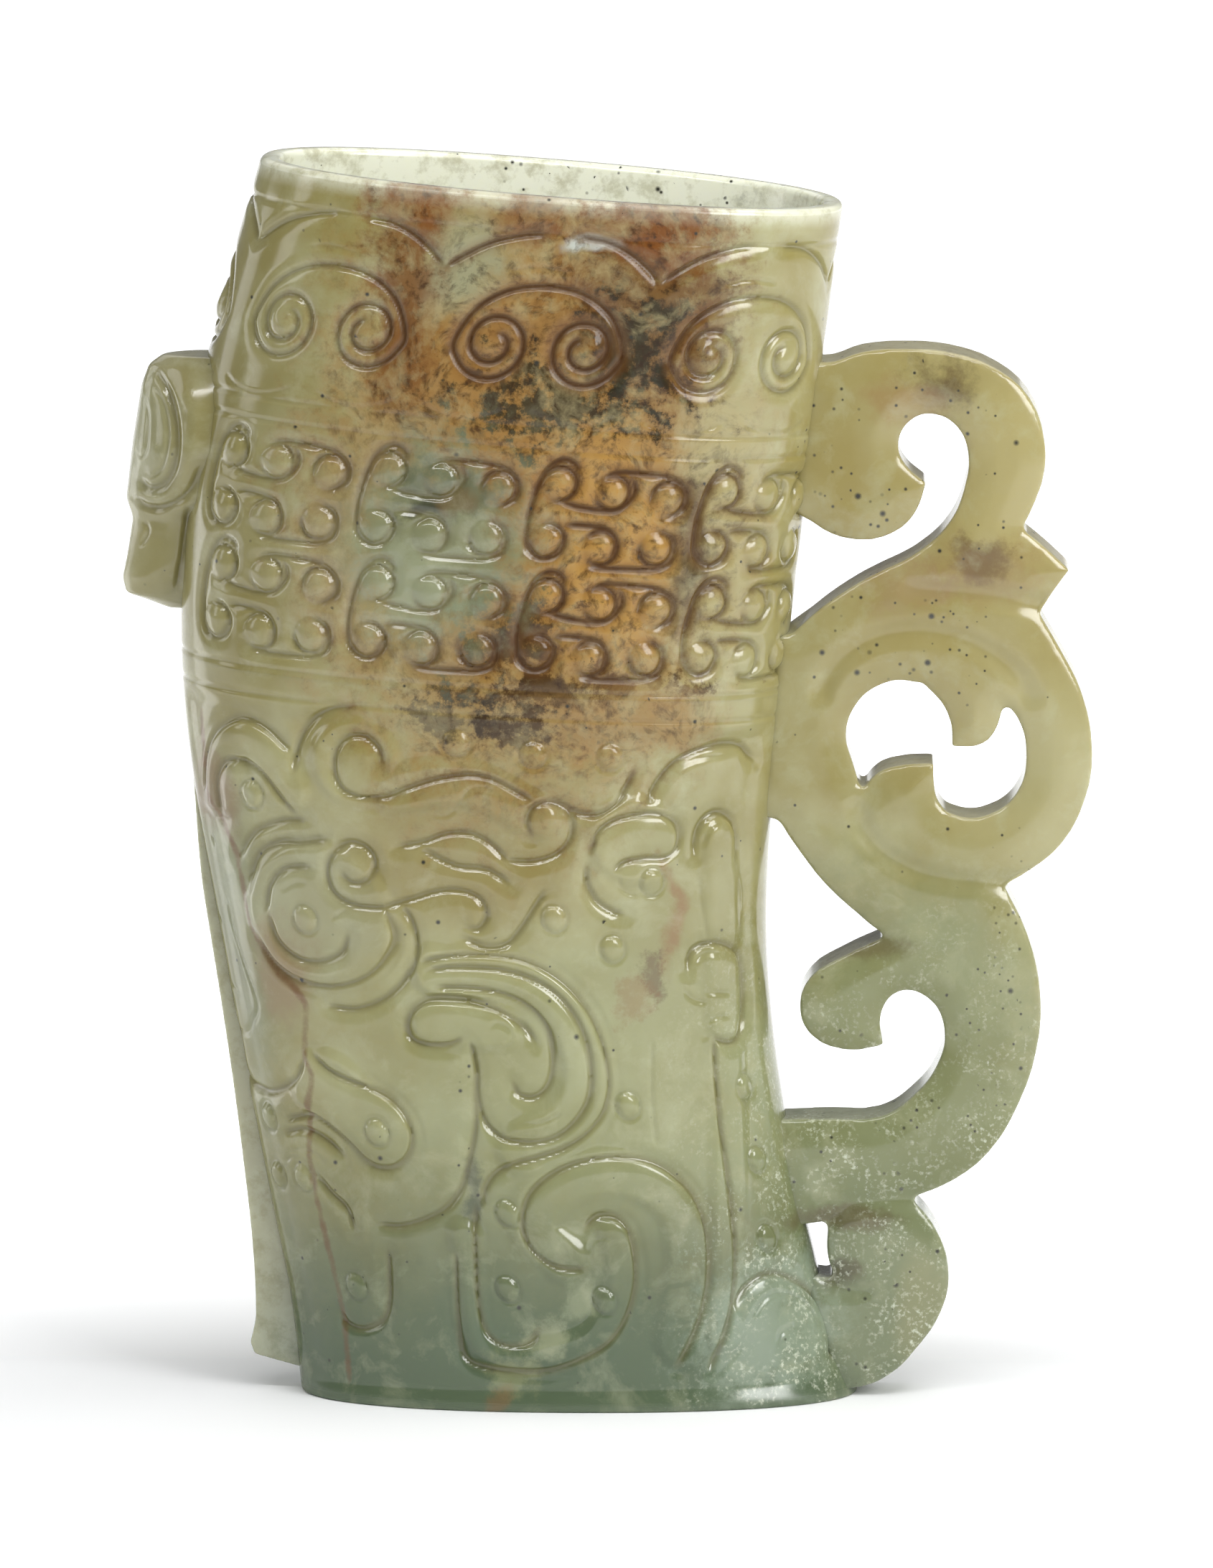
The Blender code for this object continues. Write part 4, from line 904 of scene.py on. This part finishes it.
# Lower wall: the tall wall and solid foot of the cup, in the block's celadon and grey-green stone. A mask with
# its ear, whorl, eye and curls is cut over big C scrolls and the swirl at the foot, alike on front and back.
# The lines are drawn as the photo shows the front, in millimetres.
mask_bold = [
    [(-41.9, 68.0), (-41.7, 72.4), (-40.2, 75.0), (-37.5, 76.2), (-34.6, 75.0), (-31.9, 72.4)],
    [(-39.9, 65.0), (-40.4, 68.8), (-39.6, 70.9), (-37.9, 71.4), (-35.4, 70.0), (-33.2, 67.4), (-31.3, 64.8)],
    [(-38.2, 60.4), (-36.4, 63.0), (-33.4, 64.3), (-30.2, 64.5)],
    [(-37.0, 57.6), (-36.0, 60.4), (-33.6, 61.9), (-30.6, 62.1), (-28.0, 62.4)],
    [(-34.8, 54.2), (-34.3, 57.2), (-32.6, 59.0), (-29.6, 59.4)],
    [(-36.0, 51.0), (-33.8, 47.8), (-30.8, 46.1), (-27.0, 45.6), (-23.6, 46.6), (-21.2, 48.8),
     (-20.1, 51.4), (-21.4, 55.0)],
    [(-34.6, 54.0), (-33.4, 50.8), (-31.0, 48.8), (-28.4, 48.5), (-26.2, 49.6), (-25.4, 51.6)],
    [(-28.0, 43.3), (-24.6, 43.0), (-21.2, 44.4), (-18.8, 47.0), (-17.8, 50.0), (-18.2, 52.6), (-19.4, 54.8)],
    [(-31.4, 69.8), (-31.1, 73.0), (-29.6, 75.6), (-27.2, 77.0), (-24.6, 77.4)],
    [(-21.5, 70.4), (-21.9, 72.6), (-23.4, 74.0), (-25.4, 73.9), (-26.7, 72.4), (-26.9, 70.0),
     (-25.9, 68.0), (-23.8, 67.1), (-21.2, 67.2), (-18.6, 68.2), (-15.4, 69.2), (-12.0, 69.7), (-9.4, 69.3),
     (-7.2, 68.2), (-4.8, 66.8)],
    [(-20.0, 61.4), (-17.0, 62.0), (-14.5, 62.9), (-12.0, 63.0), (-9.8, 62.0), (-8.3, 60.6), (-7.6, 59.8)],
    [(-17.2, 61.2), (-15.0, 60.0), (-13.0, 59.2), (-10.5, 59.0), (-9.0, 58.4), (-7.3, 57.2)],
    [(-26.3, 58.7), (-25.2, 57.5), (-23.7, 57.5), (-22.6, 58.6), (-22.6, 60.2), (-23.7, 61.5),
     (-25.4, 61.9), (-27.0, 61.0), (-27.8, 59.1), (-27.3, 56.8), (-25.9, 55.4), (-23.8, 54.7),
     (-21.2, 54.7), (-18.4, 55.5), (-15.4, 56.4), (-12.9, 56.5), (-10.8, 55.6), (-10.0, 53.8),
     (-10.9, 52.2), (-12.4, 52.4)],
    [(-5.0, 62.4), (-5.5, 64.4), (-4.8, 66.0), (-3.2, 66.7), (-1.5, 66.2), (-0.5, 64.9), (-0.5, 63.0),
     (-1.4, 61.3), (-3.2, 60.2), (-5.6, 59.8), (-7.8, 60.0)],
    [(-1.8, 66.6), (0.2, 65.3), (2.2, 65.3), (4.2, 66.4), (5.6, 68.2), (6.6, 70.4)],
    [(1.4, 60.6), (2.2, 63.0), (4.2, 64.6), (7.0, 65.3), (9.5, 65.3), (11.1, 64.5), (11.7, 62.9),
     (11.2, 61.2), (9.8, 60.4), (7.4, 60.3), (5.4, 59.9), (4.0, 58.8)],
    [(1.2, 59.6), (1.2, 57.4), (2.3, 55.4), (4.0, 54.2), (5.4, 53.9)],
    [(8.0, 66.6), (9.2, 69.0), (11.2, 71.2), (13.8, 72.5), (16.4, 73.2), (18.6, 73.0), (19.9, 71.4)],
    [(13.2, 60.6), (13.6, 63.4), (14.8, 65.1), (16.3, 65.5), (17.6, 64.6), (18.1, 62.4), (18.0, 60.0)],
    [(12.4, 47.6), (13.1, 49.8), (15.0, 50.8), (17.0, 50.4), (18.4, 49.2), (18.8, 45.8), (18.7, 42.0),
     (18.0, 40.0), (16.6, 39.5), (15.0, 40.2)],
    [(-12.6, 51.2), (-10.2, 50.2), (-7.8, 50.5), (-6.2, 52.2), (-4.8, 54.4), (-3.4, 56.6)],
    [(-17.4, 48.4), (-14.0, 49.2), (-10.0, 49.4), (-6.0, 48.8), (-3.0, 47.4), (-0.5, 45.4), (1.5, 42.8),
     (2.8, 39.8), (3.5, 36.8), (3.7, 34.0), (3.1, 31.4), (1.4, 29.2), (-1.0, 27.5), (-4.0, 26.4),
     (-7.0, 25.5), (-9.1, 24.3), (-10.3, 22.6), (-10.6, 20.6)],
    [(-16.5, 47.6), (-13.0, 47.9), (-8.4, 47.6), (-5.0, 46.6), (-2.2, 44.8), (-0.2, 42.3), (1.1, 39.3),
     (1.6, 36.0), (1.3, 33.0), (0.0, 30.6), (-2.0, 28.8), (-4.5, 28.0), (-7.0, 28.1), (-9.2, 29.0),
     (-10.5, 30.8), (-11.1, 33.4), (-11.2, 36.4), (-11.8, 39.2)],
    [(-15.6, 45.6), (-11.4, 45.5), (-7.8, 44.7), (-5.2, 43.2), (-3.4, 41.0), (-2.7, 38.4), (-2.8, 35.6),
     (-3.6, 33.8), (-5.0, 33.0), (-6.5, 33.4), (-7.2, 34.8)],
    [(-12.6, 39.9), (-14.2, 39.0), (-16.6, 38.9), (-18.4, 39.6), (-19.0, 41.4), (-18.2, 43.2),
     (-16.0, 44.3), (-12.0, 44.1), (-8.6, 43.0), (-6.0, 41.2), (-4.5, 39.2)],
    [(-29.8, 38.2), (-27.8, 36.2), (-25.0, 34.8), (-22.0, 33.7), (-20.0, 32.2), (-18.6, 30.0),
     (-18.3, 27.8), (-19.1, 25.9), (-20.6, 24.9), (-22.4, 24.9), (-23.8, 25.8), (-25.6, 27.8),
     (-28.0, 29.9), (-30.2, 30.9), (-33.0, 30.4)],
    [(-33.4, 28.9), (-31.0, 29.3), (-28.6, 28.3), (-26.2, 26.2)],
    [(-11.3, 35.0), (-11.3, 30.0), (-12.0, 26.0), (-13.0, 22.6), (-14.6, 20.4), (-17.0, 19.0),
     (-20.0, 18.2), (-22.4, 18.4)],
    [(-29.6, 24.2), (-27.8, 22.0), (-26.0, 20.2), (-25.2, 17.8)],
    [(-21.3, 15.4), (-21.2, 10.4), (-21.9, 7.6), (-24.0, 6.5), (-26.0, 7.0), (-27.0, 8.6)],
    [(-13.6, 15.4), (-13.5, 10.0), (-13.2, 5.2), (-12.3, 3.0), (-10.0, 2.0), (-6.0, 1.6), (-3.0, 1.8),
     (0.0, 2.9), (3.0, 4.6), (5.0, 7.0), (6.2, 10.0), (6.6, 13.2), (6.4, 16.0), (5.7, 18.2), (4.6, 19.4),
     (3.2, 19.7), (1.8, 19.2), (0.8, 17.8)],
    [(-11.3, 20.6), (-11.3, 15.0), (-11.0, 10.0), (-10.4, 7.0), (-9.2, 5.3), (-7.4, 4.7), (-5.4, 5.1),
     (-4.2, 6.6)],
    [(1.2, 13.5), (-1.0, 13.5), (-3.2, 14.1), (-4.9, 15.5), (-5.9, 17.4), (-6.1, 19.6), (-5.4, 21.8),
     (-3.8, 23.6), (-1.4, 25.1), (1.6, 26.1), (5.0, 26.4), (8.0, 26.0), (10.6, 24.7), (12.8, 22.4),
     (14.2, 19.4), (14.7, 16.0), (14.6, 12.0), (13.8, 8.2), (12.5, 5.0), (11.0, 2.2)],
    [(15.3, 40.0), (15.5, 35.0), (16.0, 30.0), (16.7, 25.0), (17.3, 20.0), (17.7, 15.0), (17.4, 10.0),
     (16.4, 6.0), (14.8, 2.0)],
    [(-39.2, 40.7), (-37.3, 36.0), (-35.9, 33.9), (-34.1, 33.7), (-31.7, 35.1), (-30.6, 37.4)],
    [(17.6, 9.0), (18.6, 11.0), (20.5, 12.7), (22.5, 13.2), (24.6, 12.4), (26.5, 10.8), (27.8, 8.6),
     (28.4, 6.0), (28.3, 3.6)],
]
mask_fine = [
    [(-16.2, 65.2), (-14.3, 65.1), (-13.0, 66.5), (-12.0, 67.9), (-10.5, 68.3), (-8.5, 67.7)],
    [(-37.0, 63.0), (-34.6, 64.3), (-31.6, 64.8)],
    [(-33.0, 56.4), (-31.5, 57.4), (-29.8, 57.5)],
    [(-27.4, 53.4), (-25.4, 54.4)],
    [(4.5, 58.4), (5.0, 57.0), (6.0, 56.3), (7.2, 56.1)],
    [(8.4, 66.8), (9.7, 69.0), (11.7, 70.8), (14.2, 71.7), (17.0, 71.9)],
    [(14.1, 61.2), (14.6, 63.4), (15.8, 64.4), (17.0, 63.6)],
    [(13.6, 59.0), (14.0, 55.0), (14.7, 50.6)],
    [(18.1, 59.8), (18.7, 57.0), (18.6, 54.0)],
    [(13.2, 48.4), (14.5, 49.6), (16.2, 49.4)],
    [(14.2, 45.2), (17.0, 45.2)],
    [(12.0, 46.0), (12.7, 44.6), (14.6, 43.9)],
    [(14.4, 41.5), (15.4, 42.4), (17.0, 42.6)],
    [(-1.4, 31.6), (-4.0, 30.3), (-7.0, 30.1)],
    [(-10.0, 40.8), (-9.0, 41.5), (-7.7, 41.1), (-7.1, 39.9), (-7.7, 38.9), (-9.0, 38.6)],
    [(-33.0, 26.8), (-31.0, 27.2), (-29.4, 26.4), (-28.0, 24.8)],
    [(1.2, 14.8), (1.7, 16.5), (2.8, 17.2), (4.2, 16.9)],
    [(8.5, 40.0), (8.4, 34.0), (8.7, 30.0), (9.1, 27.2)],
    [(19.6, 8.0), (21.2, 10.4), (23.2, 11.0), (25.4, 9.9), (26.6, 7.8), (26.4, 5.4)],
    [(22.6, 4.6), (23.0, 6.4), (24.6, 7.2)],
    [(18.6, 5.2), (17.0, 3.0), (15.6, 1.0)],
    [(-39.6, 56.0), (-39.0, 52.6), (-37.8, 48.6), (-36.4, 44.6), (-36.2, 42.7), (-36.9, 41.3)],
    [(-41.2, 62.9), (-40.8, 61.4)],
    [(-40.8, 54.3), (-39.9, 53.0)],
    [(-39.0, 46.4), (-38.2, 44.8)],
    [(-39.6, 44.0), (-38.7, 41.6), (-37.3, 40.5), (-36.4, 42.6)],
    [(-33.4, 25.4), (-32.4, 26.2), (-30.9, 25.7), (-30.3, 24.2), (-30.9, 22.9), (-32.2, 22.8), (-32.8, 23.8)],
]
mask_bosses = [
    (-36.4, 67.4), (-13.3, 73.3), (-4.8, 72.0), (3.8, 71.7), (-2.5, 53.4), (4.0, 50.0), (5.7, 32.2),
    (-22.3, 29.2), (-31.0, 23.8), (-25.0, 11.4), (-7.8, 19.9), (-7.8, 11.2), (3.0, 10.0), (20.3, 26.2),
    (21.4, 17.2), (18.8, 34.5), (-30.2, 53.4), (8.4, 57.6), (-35.0, 30.8), (-33.9, 24.2),
]
brown_vein = [
    (-42.3, 77.5), (-41.9, 70.0), (-40.6, 66.0), (-39.0, 62.4), (-37.8, 58.0), (-36.5, 52.0), (-34.2, 47.8),
    (-31.5, 45.0), (-30.4, 43.0), (-30.6, 38.0), (-29.6, 35.4), (-30.2, 31.0), (-30.2, 26.0), (-29.4, 21.5),
    (-28.3, 16.5), (-27.0, 11.0), (-26.3, 6.0), (-25.8, 0.5),
]
GIRDLE_LINE = 79.4
BOSS_RADIUS, BOSS_MARGIN = 1.45, 0.15
LOWER_GRAIN = 0.285
CHAMFER_POINTS = 4
DEEP_ROWS = 8
FLOOR_TURNS = (0.4, 0.9, 1.4)
LOWER_TOOLS = {"Bold Width": 0.62, "Bold Depth": 0.4, "Fine Width": 0.45, "Fine Depth": 0.16,
               "Boss Radius": BOSS_RADIUS, "Boss Height": 0.45}
lower_bosses = [on_wall(x, z) for x, z in mask_bosses]
lower_bold = [drawn(path) for path in mask_bold]
lower_fine = [level_line(GIRDLE_LINE)] + [drawn(path) for path in mask_fine]
lower_fine += [circle(spot, BOSS_RADIUS + BOSS_MARGIN) for spot in lower_bosses]
lower_rows = []
for turn in np.linspace(0, math.pi / 2, CHAMFER_POINTS + 1)[:-1]:
    lower_rows.append((FOOT_CHAMFER * (1 - math.cos(turn)), FOOT_CHAMFER * (1 - math.sin(turn)), 0.0, 0.0))
for level in np.linspace(FOOT_CHAMFER, MASK_TOP, round(MASK_TOP / LOWER_GRAIN)):
    lower_rows.append((level, 0.0, 1.0, 0.0))
lower_rows += inner_rows(MASK_TOP, FLOOR_LEVEL + FLOOR_WALL, DEEP_ROWS)
for turn in FLOOR_TURNS:
    inset = wall(FLOOR_LEVEL) + FLOOR_WALL * (1 - math.cos(turn))
    lower_rows.append((FLOOR_LEVEL + FLOOR_WALL * (1 - math.sin(turn)), inset, 0.0, DEEP_GLOW))
lower_blank = half_wall("lower_wall", lower_rows, LOWER_GRAIN)
lower_front = carved("lower_wall", lower_blank, LOWER_TOOLS, lower_bold, lower_fine, lower_bosses,
                     vein=[drawn(brown_vein)])
both_halves(lower_front, "lower_wall", ["mask_zone", "foot_block"])


# Raised work: head, fin and handle are sawn from the same block, so each is one smooth body that grows from
# the cup. A body is the frame's own nodes, closed over their seams, set a little into the cup and worn round
# at its edges.
cup_nodes = ["rim_lip", "scroll_band", "comma_band", "mask_zone", "foot_block"]
cup_shape = bmesh.new()
for node in cup_nodes:
    cup_shape.from_mesh(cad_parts[node].data)
cup_tree = BVHTree.FromBMesh(cup_shape)
SEAT_GAP, SEAT_DEPTH = 0.6, 1.0
SEAM_WELD, SEAM_FILL = 0.001, 0.24
SIDE_FACING, FREE_GAP = 0.5, 1.0
CARVE_RISE, CARVE_START = 2.0, 0.6
POLISH_LOSS = 0.1
SMOOTHING = 0.5


def grown_body(name, nodes, voxel, wear, edge_glow, face_glow=0.0, soften=0, crown=0.0, crown_reach=1.0):
    """Fused copy of the frame's nodes as a flat drawing in X and Z, ready for carving; its edges, and its
    faces by face_glow, are painted pale as a glow of light through the stone.

    voxel is its grain in mm, and wear counts the rounds of smoothing. Its two faces are softened in depth
    alone, then crowned: they fall by crown, in mm, within crown_reach of the body's free edges. Only what
    faces front or back is carved.
    """
    shape = bmesh.new()
    for node in nodes:
        shape.from_mesh(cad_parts[node].data)
    bmesh.ops.remove_doubles(shape, verts=shape.verts, dist=SEAM_WELD * MM)
    shape.normal_update()
    for vert in shape.verts:
        vert.co += vert.normal * SEAM_FILL * MM
    for vert in shape.verts:
        spot, _, _, gap = cup_tree.find_nearest(vert.co)
        if gap < SEAT_GAP * MM:
            inward = Vector((centre_x(vert.co.z / MM) * MM, 0.0, vert.co.z)) - vert.co
            vert.co += inward.normalized() * SEAT_DEPTH * MM
    mesh = bpy.data.meshes.new(name)
    shape.to_mesh(mesh)
    shape.free()
    body = bpy.data.objects.new(name + "_blank", mesh)
    scene.collection.objects.link(body)
    fuse = body.modifiers.new("fuse", "REMESH")
    fuse.mode = "VOXEL"
    fuse.voxel_size = voxel * MM
    polish = body.modifiers.new("polish", "SMOOTH")
    polish.factor = SMOOTHING
    polish.iterations = wear
    if soften:
        swell = body.modifiers.new("swell", "SMOOTH")
        swell.use_x = False
        swell.use_z = False
        swell.factor = SMOOTHING
        swell.iterations = soften
    fused = worked(body)
    bpy.data.objects.remove(body, do_unlink=True)
    seat = vectors(fused.vertices, "co")
    outward = vectors(fused.vertex_normals, "vector")
    flat = np.zeros_like(seat)
    flat[:, 0] = seat[:, 0]
    flat[:, 1] = seat[:, 2]
    facing = np.abs(outward[:, 1])
    if crown:
        free = []
        for index in np.flatnonzero(facing < SIDE_FACING):
            spot, normal, _, _ = cup_tree.find_nearest(seat[index])
            if (Vector(seat[index]) - spot).dot(normal) > FREE_GAP * MM:
                free.append(index)
        edges = KDTree(len(free))
        for index in free:
            edges.insert(flat[index], index)
        edges.balance()
        gaps = np.array([edges.find(point)[2] for point in flat])
        fall = crown * MM * (1 - eased(gaps / (crown_reach * MM)))
        seat[:, 1] -= fall * seat[:, 1] / np.abs(seat[:, 1]).max()
    fused.vertices.foreach_set("co", flat.ravel())
    set_marks(fused, "seat", seat - outward * POLISH_LOSS * MM, "FLOAT_VECTOR")
    set_marks(fused, "outward", outward, "FLOAT_VECTOR")
    set_marks(fused, "carve", np.clip(facing * CARVE_RISE - CARVE_START, 0.0, 1.0))
    set_marks(fused, "thin", np.maximum(edge_glow * (1 - facing), face_glow))
    return fused


# Beast's head: a ram-like head with a coiled horn on each side and a blunt muzzle, high on the narrow front.
# It is sawn from the block with the cup, rounded, and carved with a few lines on each side. The lines are
# drawn on its middle plane, and lifted to where they lie on its near side.
HEAD_LIFT = 1.1
HEAD_TOOLS = {"Bold Width": 0.8, "Bold Depth": 0.42}
head_nodes = ["beast_head", "beast_muzzle"]
head_bold = [moved(path, 0.0, HEAD_LIFT) for path in (
    [(-48.5, 113.7), (-47.3, 114.4), (-46.1, 113.2), (-45.1, 110.8), (-44.6, 108.4), (-44.6, 105.9),
     (-45.1, 103.5), (-46.3, 101.8), (-47.8, 101.3), (-49.2, 102.3)],
    [(-41.8, 104.0), (-42.7, 101.8), (-44.4, 100.1), (-46.3, 99.1), (-48.2, 99.1), (-49.9, 100.1)],
    [(-43.2, 99.0), (-43.9, 94.4), (-44.7, 89.8)],
)]
head_fine = [moved(path, 0.0, HEAD_LIFT) for path in (
    [(-48.7, 112.2), (-47.5, 112.7), (-46.4, 111.5), (-45.7, 109.3), (-45.6, 106.9), (-46.3, 104.0),
     (-47.5, 102.8), (-48.7, 103.0)],
    [(-49.0, 110.8), (-48.5, 111.3), (-48.0, 110.3), (-47.9, 108.4), (-48.1, 105.9), (-48.7, 104.9),
     (-49.3, 105.9), (-49.4, 108.4), (-49.0, 110.8)],
    [(-48.6, 97.6), (-47.9, 96.6), (-48.4, 95.4), (-49.0, 94.6)],
)]
head_blank = grown_body("carved_head", head_nodes, voxel=0.24, wear=24, edge_glow=0.2, soften=260, crown=1.4,
                        crown_reach=6.0)
head_mesh = carved("carved_head", head_blank, HEAD_TOOLS, head_bold, head_fine)
finished("carved_head", head_mesh, head_nodes)


# Fin: the thin plain flange under the head, sawn from the block with the cup and left standing down to the
# foot. It lets light through, and draws in towards the cup at its top.
FIN_TAPER, FIN_TAPER_START, FIN_TAPER_END = 1.0, 56.0, 74.0
# The fin's faces and edges are painted pale, as light shining through
fin_blank = grown_body("carved_fin", ["front_fin"], voxel=0.26, wear=8, edge_glow=0.3, face_glow=0.3)
fin_field = fin_blank.attributes["seat"].data
fin_seat = vectors(fin_field, "vector")
fin_rise = (fin_seat[:, 2] / MM - FIN_TAPER_START) / (FIN_TAPER_END - FIN_TAPER_START)
fin_seat[:, 0] += FIN_TAPER * MM * eased(fin_rise)
fin_field.foreach_set("vector", fin_seat.ravel())
fin_mesh = carved("carved_fin", fin_blank, {})
finished("carved_fin", fin_mesh, ["front_fin"])


# Handle: an openwork plate of scrolls with a crest, a spur, a ring and a tail. It is sawn from the block with
# the cup, pierced, and rounded at its edges; wide shallow channels follow its scrolls. They are drawn on its
# middle plane, and lifted to where they lie on its near face.
FACE_LIFT = 0.75
HANDLE_TOOLS = {"Fine Width": 2.0, "Fine Depth": 0.42}
handle_nodes = ["handle_crest", "handle_spur", "handle_ring", "ring_upper_tongue", "ring_lower_tongue",
                "handle_limb", "limb_curl", "tail_curl"]
handle_soft = [moved(path, 0.0, FACE_LIFT) for path in (
    [(37.0, 90.8), (43.0, 90.3), (47.0, 89.8), (54.0, 88.4)],
    [(27.0, 79.0), (28.0, 81.5), (30.0, 83.6), (33.0, 85.3), (37.0, 86.0), (41.0, 85.6), (45.0, 84.0),
     (48.0, 81.8), (50.2, 78.6)],
    [(31.0, 66.0), (32.2, 63.0), (34.0, 61.0), (37.0, 59.3), (40.0, 58.4), (44.0, 57.9), (47.4, 57.8),
     (51.0, 57.8)],
    [(27.8, 19.6), (29.0, 20.6), (31.0, 21.4), (34.0, 21.7), (37.0, 21.9)],
    [(28.0, 13.0), (29.0, 11.8), (30.3, 11.5), (31.7, 11.7)],
)]
handle_blank = grown_body("handle", handle_nodes, voxel=0.34, wear=8, edge_glow=0.2, soften=24, crown=0.5,
                          crown_reach=3.5)
handle_mesh = carved("handle", handle_blank, HANDLE_TOOLS, fine=handle_soft)
finished("handle", handle_mesh, handle_nodes)
cup_shape.free()
